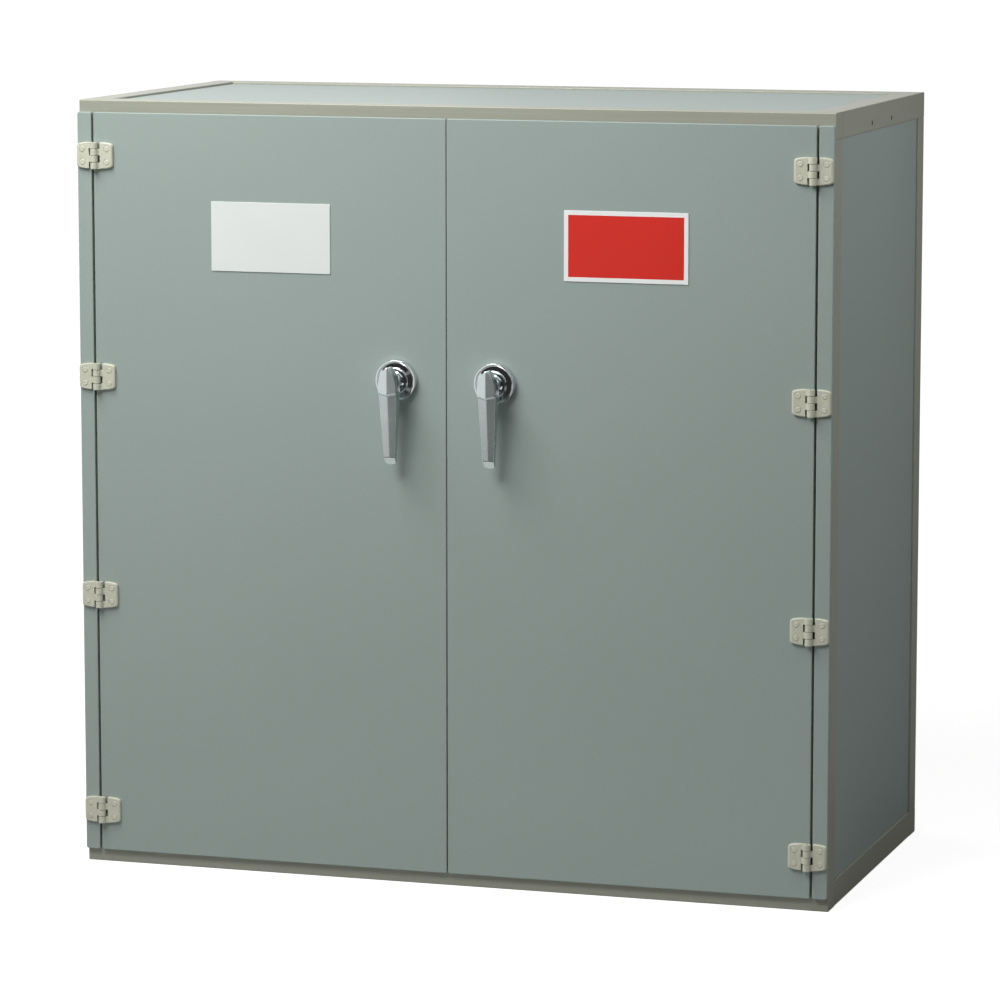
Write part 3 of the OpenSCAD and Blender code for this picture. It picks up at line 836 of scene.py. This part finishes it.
def leaf_plate():
    """The leaf without its knuckles. Its crowned end falls from 15.5 mm at the knuckles as
    z = 15.5 - 2.2 s^2, with s the share of its width, and meets a corner of 3.6 mm radius. The
    front edge is a quarter turn a: rings shrink by 1 - cos a while they rise by sin a, most at
    the free side and not at all beside the knuckles."""
    share = np.linspace(0, 0.76, 9)
    crown = np.stack([LEAF_START + share * LEAF_WIDTH, LEAF_HALF_H - LEAF_CROWN * share**2], -1)
    angle = np.radians(np.linspace(77, 0, 9))
    corner = LEAF_CORNER * np.stack([np.cos(angle), np.sin(angle)], -1) + (18.8, 10.5)
    upper = np.concatenate([crown, corner])
    outline = np.concatenate([upper * (1, -1), upper[::-1]])
    turn = np.radians([0, 0, 15, 30, 45, 60, 75, 90])
    shrink, height = (1 - np.cos(turn))[:, None], LEAF_EDGE + LEAF_RISE * np.sin(turn)
    height[0] = LEAF_BACK
    x = LEAF_START + (outline[:, 0] - LEAF_START) * (1 - NARROWER * shrink)
    z = outline[:, 1] * (1 - LOWER * shrink)
    return skin(np.dstack([x, z, np.repeat(height[:, None], len(outline), 1)]))


def hinge_leaf(knuckles, bore):
    """Plate and knuckles in the pin's own frame: X to the leaf, Y to the cabinet, Z up."""
    middles = [(1.5 - number) * KNUCKLE_PITCH for number in knuckles]
    barrels = [
        prism(knuckle_outline(), z - KNUCKLE_H / 2, z + KNUCKLE_H / 2, KNUCKLE_RIM)
        for z in middles
    ]
    leaf = bored(place(leaf_plate(), **FACING_FRONT), *barrels, how="UNION")
    recesses = [
        place(rod(RECESS_R, RECESS_START, 20.0), (SCREW_X, RECESS_Y, z), **FACING_FRONT)
        for z in (-SCREW_Z, SCREW_Z)
    ]
    return bored(leaf, rod(bore, -20, 20), *recesses)


def at_hinges(shape):
    """Copies of a right-hand shape at the four hinges."""
    return joined([place(shape, (PIN_X, PIN_Y, z)) for z in HINGE_ZS])


upper_leaf, lower_leaf = (0, 2), (1, 3)
frame_leaves = [
    at_hinges(hinge_leaf(lower_leaf, FRAME_BORE)),
    mirrored(at_hinges(hinge_leaf(upper_leaf, FRAME_BORE))),
]
dress("hinge_frame_leaves", joined(frame_leaves), hinge_plastic)
right_leaves = at_hinges(mirrored(hinge_leaf(upper_leaf, DOOR_BORE)))
dress("right_hinge_door_leaves", right_leaves, hinge_plastic)
left_leaves = mirrored(at_hinges(mirrored(hinge_leaf(lower_leaf, DOOR_BORE))))
dress("left_hinge_door_leaves", left_leaves, hinge_plastic)
print("sixteen hinge leaves at heights", np.round(HINGE_ZS, 1).tolist())

# %% [markdown]
# Each leaf is held by two screws with low domed heads and a small dimple in the middle. The
# profile runs from the dimple over the dome to the rim, and down the shank into the board,
# where the shank ends flat.


# %% Screws
def screw():
    """A turned head and shank, with heights measured out from the leaf's recess."""
    profile = [(0, 0.35), (0.4, 0.38), (0.7, 0.6), (1.0, 0.74), (2.2, 0.7), (3.0, 0.5),
               (3.4, 0.2), (3.4, 0.0), (1.5, 0.0), (1.5, -7.0), (0, -7.4)]
    return turned(soften(profile, [0, 0.2, 0.2, 0.3, 0.5, 0.4, 0.15, 0.1, 0.2, 0.4, 0], 4)[:-4])


def leaf_screws(direction):
    """Eight screws of one hand, on the leaves towards the stile (1) or the door (-1)."""
    return at_hinges(joined([
        place(screw(), (direction * SCREW_X, SCREW_SEAT, z), **FACING_FRONT)
        for z in (-SCREW_Z, SCREW_Z)
    ]))


dress("frame_leaf_screws", joined([leaf_screws(1), mirrored(leaf_screws(1))]), screw_enamel)
dress_pair("door_leaf_screws", leaf_screws(-1), screw_enamel)
print("32 leaf screws")

# %% [markdown]
# ## Handle bases
# The escutcheon is turned from one piece with its collar and the tube that passes through the
# door: a tall rim with a bead, a dish that falls away from a collar, and the collar that the
# lever's neck runs in. The profile is a closed loop round the bore. Two notches in the
# collar's bore take the lock bolt, with the lever hanging or turned a quarter.

# %% Escutcheon, collar and tube
HANDLE = dict(origin=(SPINDLE_X, FACE_Y, SPINDLE_Z), **FACING_FRONT)
BOLT_HALF, BOLT_BACK, BOLT_FRONT = 2.3, 2.8, 7.5


def box_tool(low, high):
    """A plain block, used for cutting."""
    return prism(rectangle(low[:2], high[:2]), low[2], high[2])


def handle_base():
    """The closed profile of the base, softened corner by corner and turned."""
    profile = [(6.2, -9.9), (10, -9.9), (10, 0), (24.5, 0), (23.8, 7.6), (23.5, 8.2),
               (21.9, 8.2), (21.4, 6.6), (20.7, 6.25), (15.1, 7.7), (14.9, 8.4), (14.7, 9),
               (13.9, 9), (13.5, 8.2), (10.6, 9.1), (9, 9.1), (9, -4), (6.2, -4)]
    reach = [0.4, 0.5, 0.1, 0.3, 0.3, 0.2, 0.2, 0.4, 0.6, 0.2, 0.2, 0.2, 0.2, 0.3, 0.3,
             0.1, 0.1, 0.2]
    base = turned(soften(profile, reach, 5), closed=True, turns=96)
    notch = box_tool((-BOLT_HALF, 8.0, BOLT_BACK), (BOLT_HALF, 12.0, BOLT_FRONT))
    side_notch = box_tool((-12.0, -BOLT_HALF, BOLT_BACK), (-8.0, BOLT_HALF, BOLT_FRONT))
    return bored(base, notch, side_notch)


dress_pair("handle_base", place(handle_base(), **HANDLE), polished_chrome)
print("two handle bases")

# %% [markdown]
# ## Nuts and latch cams
# Behind the door a hexagon nut clamps the base. The cam is a flat bar with a round end that
# swings in behind the mullion when the lever is turned, and a smaller nut holds it on the
# spindle. On real nuts a cone takes the corners off. Rounded rims stand for that here.


# %% Nuts and cams
HUB_R, CAM_END_R, CAM_REACH, CAM_BACK, CAM_FRONT, SQUARE_HALF = 9.0, 8.0, 39.0, -13.5, -10.5, 4.0


def arc(radius, start, end, count):
    """Points on a circle round the origin, from one angle to another in degrees."""
    angle = np.radians(np.linspace(start, end, count))
    return radius * np.stack([np.cos(angle), np.sin(angle)], -1)


def nut(radius, bore, low, high):
    """A hexagon with softened corners and rims, the first corner towards +X."""
    block = prism(soften(arc(radius, 0, 300, 6), 0.8, 4), low, high, 0.6)
    return bored(block, rod(bore, low - 1, high + 1))


def latch_cam():
    """A hub, a bar with a round end 47 mm up, and a square hole for the spindle."""
    hub = arc(HUB_R, 152.8, 387.2, 30)
    end = arc(CAM_END_R, 0, 180, 20) + (0, CAM_REACH)
    bar = prism(np.concatenate([hub, end]), CAM_BACK, CAM_FRONT, 0.4)
    return bored(bar, box_tool((-SQUARE_HALF, -SQUARE_HALF, -20), (SQUARE_HALF, SQUARE_HALF, -8)))


for title, shape in (
    ("handle_nut", nut(16.0, 10.05, -9.5, -5.5)),
    ("cam_nut", nut(5.8, 3.0, -17.5, CAM_BACK)),
    ("latch_cam", latch_cam()),
):
    dress_pair(title, place(shape, **HANDLE), plain_steel)
print("two clamp nuts, two cams, two cam nuts")

# %% [markdown]
# ## The lever
# The lever is cast in one piece: a head with a pointed arch, and a grip that tapers to a
# bevelled tip. Seen from the front both have a low ridge along the middle. It is drawn as one
# skin whose rings lie along its length. Each ring is a five-cornered section, softened, and
# three functions of the height give its half width, its ridge and its flat back. The rings
# bow into arcs where the keyhole cover meets the grip, so the step between them is an arc.


# %% The lever's front view
HEAD_HALF, ARCH_BASE, ARCH_TOP, ARCS_MEET, NOSE_R, NOSE_FLARE = 10.5, -4.0, 18.2, 0.5, 2.5, 1.2
TAPER, TAPER_LENGTH, TIP_HALF, TIP, TIP_R = -12.0, 79.0, 6.2, -94.0, 12.0
ABOVE_ZERO = 1e-6


def smallest(*values, sharpness=7.0):
    """A soft minimum, (sum of v^-n)^(-1/n): it follows the smallest and rounds the corners."""
    total = sum(np.maximum(value, ABOVE_ZERO) ** -sharpness for value in values)
    return total ** (-1 / sharpness)


def half_width(y):
    """Two arcs that lean together above the arch's base, closed by a small round nose, and
    straight sides below it that draw in to the tip, whose end is an arc of 12 mm radius."""
    rise = ARCH_TOP + ARCS_MEET - ARCH_BASE
    radius = (HEAD_HALF**2 + rise**2) / (2 * HEAD_HALF)
    above = np.maximum(y - ARCH_BASE, 0)
    arch = np.sqrt(np.maximum(radius**2 - above**2, 0)) + HEAD_HALF - radius
    below = np.maximum(ARCH_TOP - y, 0)
    nose = np.sqrt(2 * NOSE_R * below) + NOSE_FLARE * below
    drawn_in = (HEAD_HALF - TIP_HALF) * np.maximum(TAPER - y, 0) / TAPER_LENGTH
    over = np.maximum(y - TIP, 0)
    end = np.sqrt(2 * TIP_R * over + over**2)
    lower = smallest(HEAD_HALF - drawn_in, end, sharpness=14)
    width = np.where(y > ARCH_BASE, smallest(arch, nose), lower)
    return np.where((y >= ARCH_TOP) | (y <= TIP), 0.0, width)


def bow(x, radius):
    """How far an arc of that radius rises above its lowest point at the distance x."""
    return radius - np.sqrt(np.maximum(radius**2 - x**2, 0))


print("half widths near the nose, at the head and near the tip:",
      half_width(np.array([ARCH_TOP - 1, ARCH_BASE, TIP + 4])).round(1).tolist())

# %% The skin of a ridged bar
FACET_FALL, RIDGE_REACH = 1.2, 0.9


def ridged_bar(y, back, ridge, bend, radius, front_reach, back_reach=0.7, limit=None):
    """Rings at the heights y. A ring has corners (-w, back), (w, back), (w, side), (0, ridge)
    and (-w, side), where the facets fall 1.2 mm over the head's half width. Its points rise by
    bend times the bow, and no point stands in front of the limit plane."""
    w = half_width(y)
    side, back, zero = ridge - FACET_FALL * w / HEAD_HALF, np.full_like(w, back), 0 * w
    corners = np.stack([
        np.stack([-w, w, w, zero, -w], -1), np.stack([back, back, side, ridge, side], -1)
    ], -1)
    section = soften(corners, [back_reach, back_reach, front_reach, RIDGE_REACH, front_reach], 6)
    x, z = section[..., 0], section[..., 1]
    height = y[:, None] + bend[:, None] * bow(x, radius)
    if limit is not None:
        z = np.minimum(z, limit(height))
    return np.stack([x, height, z], -1)

# %% [markdown]
# The head is flat in front, where the cover lies on it, and a quarter circle lowers the front
# at the nose. The grip leans towards the door by about five degrees and ends in a plane bevel.


# %% The head and the grip
COVER_PIVOT, COVER_R, LEVER_BACK, HEAD_FRONT, REACH = 7.2, 21.7, 21.5, 33.2, 39.5
GRIP_Y, GRIP_LEAN, GRIP_REACH, HEAD_REACH, STEP_GAP = COVER_PIVOT - COVER_R, 5.25, 0.25, 0.45, 0.3
NOSE_ROUND, BOW_ENDS, BOW_FULL, GRIP_DROP, STEP_ROUND = 1.2, -42.0, -16.0, 3.2, (0.5, 0.12)
TIP_FRONT, TIP_BEVEL, TIP_ROUND = 22.8, 38.0, 3.0


def slope(degrees):
    """The rise for each millimetre along."""
    return math.tan(math.radians(degrees))


def rounded_nose(y):
    """How far the front falls near the nose: r - sqrt(r^2 - (r - d)^2) at the depth d."""
    depth = np.clip(NOSE_ROUND - (ARCH_TOP - y), 0, NOSE_ROUND)
    return NOSE_ROUND - np.sqrt(NOSE_ROUND**2 - depth**2)


def head_heights():
    """Heights down from the nose to the arch's base, close together where the nose is round."""
    nose = ARCH_TOP - NOSE_ROUND * (1 - np.cos(np.linspace(0, math.pi / 2, 7)))
    return np.concatenate([nose, np.linspace(ARCH_TOP - 1.6, ARCH_BASE, 26)])


def lever_head():
    """The head: the ridged section with its ridge cut down to a flat front, and seven more
    rings below the arch's base that bow more and more, until they lie along the grip's arc."""
    y = np.concatenate([head_heights(), np.linspace(ARCH_BASE - 1, GRIP_Y - STEP_GAP, 7)])
    bend = np.concatenate([np.zeros(len(y) - 7), np.linspace(0.1, 1, 7)])
    front = HEAD_FRONT - rounded_nose(y)
    rings = ridged_bar(y, LEVER_BACK, front + FACET_FALL, bend, COVER_R + STEP_GAP, HEAD_REACH)
    rings[..., 2] = np.minimum(rings[..., 2], front[:, None])
    return rings


def lever_grip():
    """The grip: rings that start on the arc and straighten on the way down. The ridge falls
    with a lean, and a plane bevel cuts the tip. Rings are close at the step and at the tip."""
    y = np.concatenate([GRIP_Y - STEP_GAP - 0.35 * np.arange(4), np.linspace(-18, -82, 27),
                        np.linspace(-82.8, -90.6, 20),
                        TIP + TIP_ROUND * (1 - np.sin(np.linspace(0, math.pi / 2, 12)))])
    bend = np.clip((y - BOW_ENDS) / (BOW_FULL - BOW_ENDS), 0, 1)
    bend[:4] = 1
    ridge = REACH - GRIP_DROP + (y - GRIP_Y) * slope(GRIP_LEAN)
    ridge[:2] -= STEP_ROUND
    return ridged_bar(y, LEVER_BACK, ridge, bend, COVER_R + STEP_GAP, GRIP_REACH,
                      limit=lambda height: TIP_FRONT + (height - TIP) * slope(TIP_BEVEL))


print(len(lever_head()), "rings in the head,", len(lever_grip()), "in the grip")


# %% The whole lever
def lever_neck():
    """The round neck behind the head, with a shoulder that rides on the collar."""
    profile = [(0, -3.5), (8.92, -3.5), (8.92, 9.6), (11, 9.6), (11, 22.5), (0, 22.5)]
    return turned(soften(profile, [0, 0.3, 0.1, 0.5, 0.9, 0], 5))


plug_bore = rod(4.55, 7.4, 45.0)
pin_bore = place(rod(1.5, 27.2, 45.0), (0, COVER_PIVOT, 0))
bolt_slots = (
    box_tool((-BOLT_HALF, -4.3, 3.1), (4.5, 6.3, 7.6)),
    box_tool((-BOLT_HALF, 0.0, 3.1), (BOLT_HALF, 10.0, BOLT_FRONT)),
)
spindle_socket = box_tool((-SQUARE_HALF, -SQUARE_HALF, -5.0), (SQUARE_HALF, SQUARE_HALF, 1.0))
solid_lever = skin(np.concatenate([lever_head(), lever_grip()]))
casting = bored(solid_lever, lever_neck(), how="UNION")
casting = bored(casting, plug_bore, pin_bore, *bolt_slots, spindle_socket)
dress_pair("lever", place(casting, **HANDLE), satin_chrome, SMOOTH_BELOW_CAST)
print("two levers,", len(casting[0]), "points each")

# %% [markdown]
# ## The keyhole cover
# The cover is the front of the head. It has the same outline and ridge, and it turns sideways
# about a pin near its top, so its lower edge is an arc about that pin. A bevel runs along the
# edge, and the last rings close towards the middle of its thickness.


# %% The cover
COVER_BACK, COVER_MIDDLE, EDGE_ROUND, EDGE_THIN = 33.5, 35.8, 0.6, 0.16
EDGE_BEVEL, BEVEL_SLOPE = 1.7, 0.65


def keyhole_cover():
    """The head's outline down to an arc, with a bevel along its edge. Past the last ring four
    more draw back by 0.6 sin a and get thinner by 16 per cent of 1 - cos a, for angles a up to
    90 degrees, and the shell shuts at the middle of its thickness."""
    y = np.concatenate([head_heights(), np.linspace(ARCH_BASE - 1, GRIP_Y + 1.8, 8),
                        np.linspace(GRIP_Y + EDGE_BEVEL, GRIP_Y, 6)])
    bend = np.clip((ARCH_BASE - y) / (ARCH_BASE - GRIP_Y), 0, 1)
    bevel = BEVEL_SLOPE * np.clip(GRIP_Y + EDGE_BEVEL - y, 0, None)
    ridge = REACH - rounded_nose(y) - bevel
    body = ridged_bar(y, COVER_BACK, ridge, bend, COVER_R, GRIP_REACH, GRIP_REACH)
    body[..., 1] += EDGE_ROUND * bend[:, None]
    angle = np.linspace(0, math.pi / 2, 5)[1:, None, None]
    last = body[-1:]
    end = np.repeat(last, 4, 0)
    end[..., 1:2] -= EDGE_ROUND * np.sin(angle)
    thinner = 1 - EDGE_THIN * (1 - np.cos(angle))
    end[..., 2:] = COVER_MIDDLE + (last[..., 2:] - COVER_MIDDLE) * thinner
    shut = end[-1:].copy()
    shut[..., 2] = COVER_MIDDLE
    shell = skin(np.concatenate([body, end, shut]))
    return bored(shell, place(rod(1.55, 30.0, 36.6), (0, COVER_PIVOT, 0)))


cover = place(keyhole_cover(), **HANDLE)
dress_pair("keyhole_cover", cover, satin_chrome, SMOOTH_BELOW_CAST)
print("two keyhole covers,", len(cover[0]), "points each")

# %% [markdown]
# ## Parts whose shape is already right
# Pins, spindles, plugs and bolts are plain turned or milled steel and brass, mostly hidden.
# They keep the CAD shape and only get a real finish.

# %% Finish the carried parts
carried = {"hinge_pins": plain_steel}
for side in ("left", "right"):
    for part in ("spindle", "cover_pin", "lock_bolt"):
        carried[f"{side}_{part}"] = plain_steel
    carried[f"{side}_lock_plug"] = lock_brass
for node, finish in carried.items():
    frame["nodes"][node].material_slots[0].material = finish
print("carried parts:", ", ".join(carried))

# %% [markdown]
# ## The floor and the surroundings
# A pale floor carries the cabinet and takes its shadow. To a camera or a reflection it also
# glows, so that it reads as white where it is lit and keeps a soft shadow where it isn't. The
# world is white to a camera or a reflection and only a dim fill to everything else.


# %% Floor and world
FLOOR_COLOUR, FLOOR_HALF = (0.4, 0.4, 0.396), 90e3
GLOW = {"From Min": 0.6, "From Max": 5.0, "To Min": 0.86, "To Max": 1.0}
WORLD_FILL = 0.1


def white_rays(nodes):
    """1 for camera, mirror and glass rays, 0 for the rest."""
    camera, glossy, through = (
        nodes.node("LightPath", output=f"Is {kind} Ray")
        for kind in ("Camera", "Glossy", "Transmission")
    )
    return camera.larger(glossy).larger(through)


def floor_material():
    """Diffuse, plus a glow for the white rays that grows with the distance in metres."""
    material = bpy.data.materials.new("pale_floor")
    nodes = Nodes(material)
    spot = nodes.node("TexCoord", output="Object")
    away = nodes.node("VectorMath", {"operation": "LENGTH"}, {0: spot}, "Value")
    smooth = {"interpolation_type": "SMOOTHSTEP"}
    glow = white_rays(nodes) * nodes.node("MapRange", smooth, {"Value": away, **GLOW}, "Result")
    light = nodes.node("Emission", inputs={"Strength": glow})
    base = nodes.node("BsdfDiffuse", inputs={"Color": FLOOR_COLOUR})
    nodes.close(nodes.node("AddShader", inputs={0: base, 1: light}))
    return material


def surroundings():
    """A world that is white to the white rays and dim to the rest."""
    world = bpy.data.worlds.new("white_surroundings")
    bpy.context.scene.world = world
    nodes = Nodes(world)
    strength = {"Value": white_rays(nodes), "To Min": WORLD_FILL, "To Max": 1.0}
    strength = nodes.node("MapRange", inputs=strength, output="Result")
    background = nodes.node("Background", inputs={"Color": (1, 1, 1), "Strength": strength})
    nodes.close(background, "OutputWorld")


def flat_object(name, corners, material):
    """A four-cornered sheet with one material, linked to the scene."""
    mesh = mesh_from(name, (np.array(corners, float), [np.arange(4)]))
    mesh.materials.append(material)
    sheet = bpy.data.objects.new(name, mesh)
    bpy.context.scene.collection.objects.link(sheet)
    return sheet


def lying(low, high, z=0.0):
    """The corners of a rectangle that lies at the height z."""
    return np.column_stack([rectangle(low, high), np.full(4, z)])


floor_corners = lying((-FLOOR_HALF, -FLOOR_HALF), (FLOOR_HALF, FLOOR_HALF))
floor = flat_object("floor", floor_corners, floor_material())
surroundings()
print("floor and surroundings")

# %% [markdown]
# ## Lamps
# Four soft lamps light the cabinet. The key lamp hangs near it on the left, so the doors
# darken from the top left to the bottom right. A larger one in front fills the shadows, one on
# the right lifts the side, and one behind on the left brightens the top.


# %% Lamps
def soft_lamp(name, place_at, aim, size, power):
    """A square area lamp of that size in metres and power in watts, turned to its aim."""
    light = bpy.data.lights.new(name, "AREA")
    light.shape, light.size, light.energy = "SQUARE", size, power
    lamp = bpy.data.objects.new(name, light)
    lamp.location = place_at
    x, y, z = np.array(place_at) - np.array(aim)
    lamp.rotation_euler = (math.atan2(math.hypot(x, y), z), 0, math.atan2(x, -y))
    bpy.context.scene.collection.objects.link(lamp)


soft_lamp("key_lamp", (-0.7, -0.9, 2.1), (-0.2, -0.2, 0.7), 0.8, 23.6)
soft_lamp("front_lamp", (-0.5, -2.2, 2.4), (-0.1, -0.2, 0.5), 1.0, 41.5)
soft_lamp("side_lamp", (1.35, -0.1, 1.12), (0.45, 0.0, 0.6), 0.6, 4.6)
soft_lamp("back_lamp", (-2.8, 2.0, 2.2), (0.0, 0.2, 0.5), 1.6, 25.0)
print("four lamps")

# %% [markdown]
# ## Cards
# Chrome in a white room looks flat, because everything that it mirrors is white. So dark, grey
# and bright cards, which only reflections can see, stand in front, beside and behind, and lie
# just above the floor. Their places are in millimetres, and each has one grey from 0 to 1.


# %% Cards
def reflected_card(name, corners, grey):
    """A card that glows in one grey and that only reflections see."""
    material = bpy.data.materials.new(name)
    nodes = Nodes(material)
    nodes.close(nodes.node("Emission", inputs={"Color": (grey, grey, grey)}))
    card = flat_object(name, corners, material)
    card.visible_camera = card.visible_diffuse = card.visible_shadow = False
    card.visible_transmission = card.visible_volume_scatter = False


def upright(start, end, low, high):
    """The corners of a card that stands over the line from start to end on the floor."""
    return [(*start, low), (*end, low), (*end, high), (*start, high)]


IN_FRONT, FAR_LEFT, FAR_RIGHT, LEFT_SPLIT, RIGHT_SPLIT = -1500, -2500, 2600, -330, 120
LOW_SPLIT, HIGH_SPLIT, ABOVE_FLOOR = 280, 850, 0.4
standing = {
    "middle": (LEFT_SPLIT, RIGHT_SPLIT, 0, HIGH_SPLIT, 0.22),
    "right": (RIGHT_SPLIT, FAR_RIGHT, 0, HIGH_SPLIT, 0.03),
    "upper": (FAR_LEFT, FAR_RIGHT, HIGH_SPLIT, 1500, 0.03),
    "left": (FAR_LEFT, LEFT_SPLIT, LOW_SPLIT, HIGH_SPLIT, 0.9),
    "lower_left": (FAR_LEFT, LEFT_SPLIT, 0, LOW_SPLIT, 0.6),
}
for name, (left, right, low, high, grey) in standing.items():
    corners = upright((left, IN_FRONT), (right, IN_FRONT), low, high)
    reflected_card(name + "_card", corners, grey)
reflected_card("side_card", upright((1800, IN_FRONT), (1800, 300), 0, 1600), 0.03)
reflected_card("rear_card", upright((455, 450), (2500, 450), 0, 1600), 0.12)
reflected_card("back_card", upright((-1000, 3000), (1800, 3000), 900, 2600), 0.7)
on_floor = {
    "near": ((-600, -370), (600, -250), 0.5),
    "bright": ((-600, -600), (600, -370), 0.65),
    "far": ((-900, -1500), (600, -600), 0.04),
    "side": ((430, -600), (1800, 450), 0.05),
}
for name, (low, high, grey) in on_floor.items():
    reflected_card(name + "_floor_card", lying(low, high, ABOVE_FLOOR), grey)
print(len(standing) + len(on_floor) + 3, "cards")

# %% [markdown]
# ## The camera
# The cabinet is seen from the front right and a little above, through a long lens, so that
# its edges stay almost parallel. The focal length is given as a number of picture widths, and
# the camera's angles are in degrees.

# %% Camera
PICTURE_WIDTHS, SENSOR, CAMERA_DOWN, CAMERA_TURN = 4.58, 36.0, 8.162, 17.617

lens = bpy.data.cameras.new("camera")
lens.lens, lens.sensor_width = PICTURE_WIDTHS * SENSOR, SENSOR
lens.clip_start, lens.clip_end = 0.1, 300.0
camera = bpy.data.objects.new("camera", lens)
camera.location = (1.6248, -5.1242, 1.1938)
camera.rotation_euler = (math.radians(90 - CAMERA_DOWN), 0.0, math.radians(CAMERA_TURN))
bpy.context.scene.collection.objects.link(camera)
bpy.context.scene.camera = camera
bpy.context.scene.view_settings.view_transform = "Standard"
print("camera at", tuple(round(value, 3) for value in camera.location))

# %% [markdown]
# ## Closing
# Last, the scene is brought up to date. The finished pieces must stay inside the box of the
# CAD model.

# %% Bring the scene up to date
bpy.context.view_layer.update()
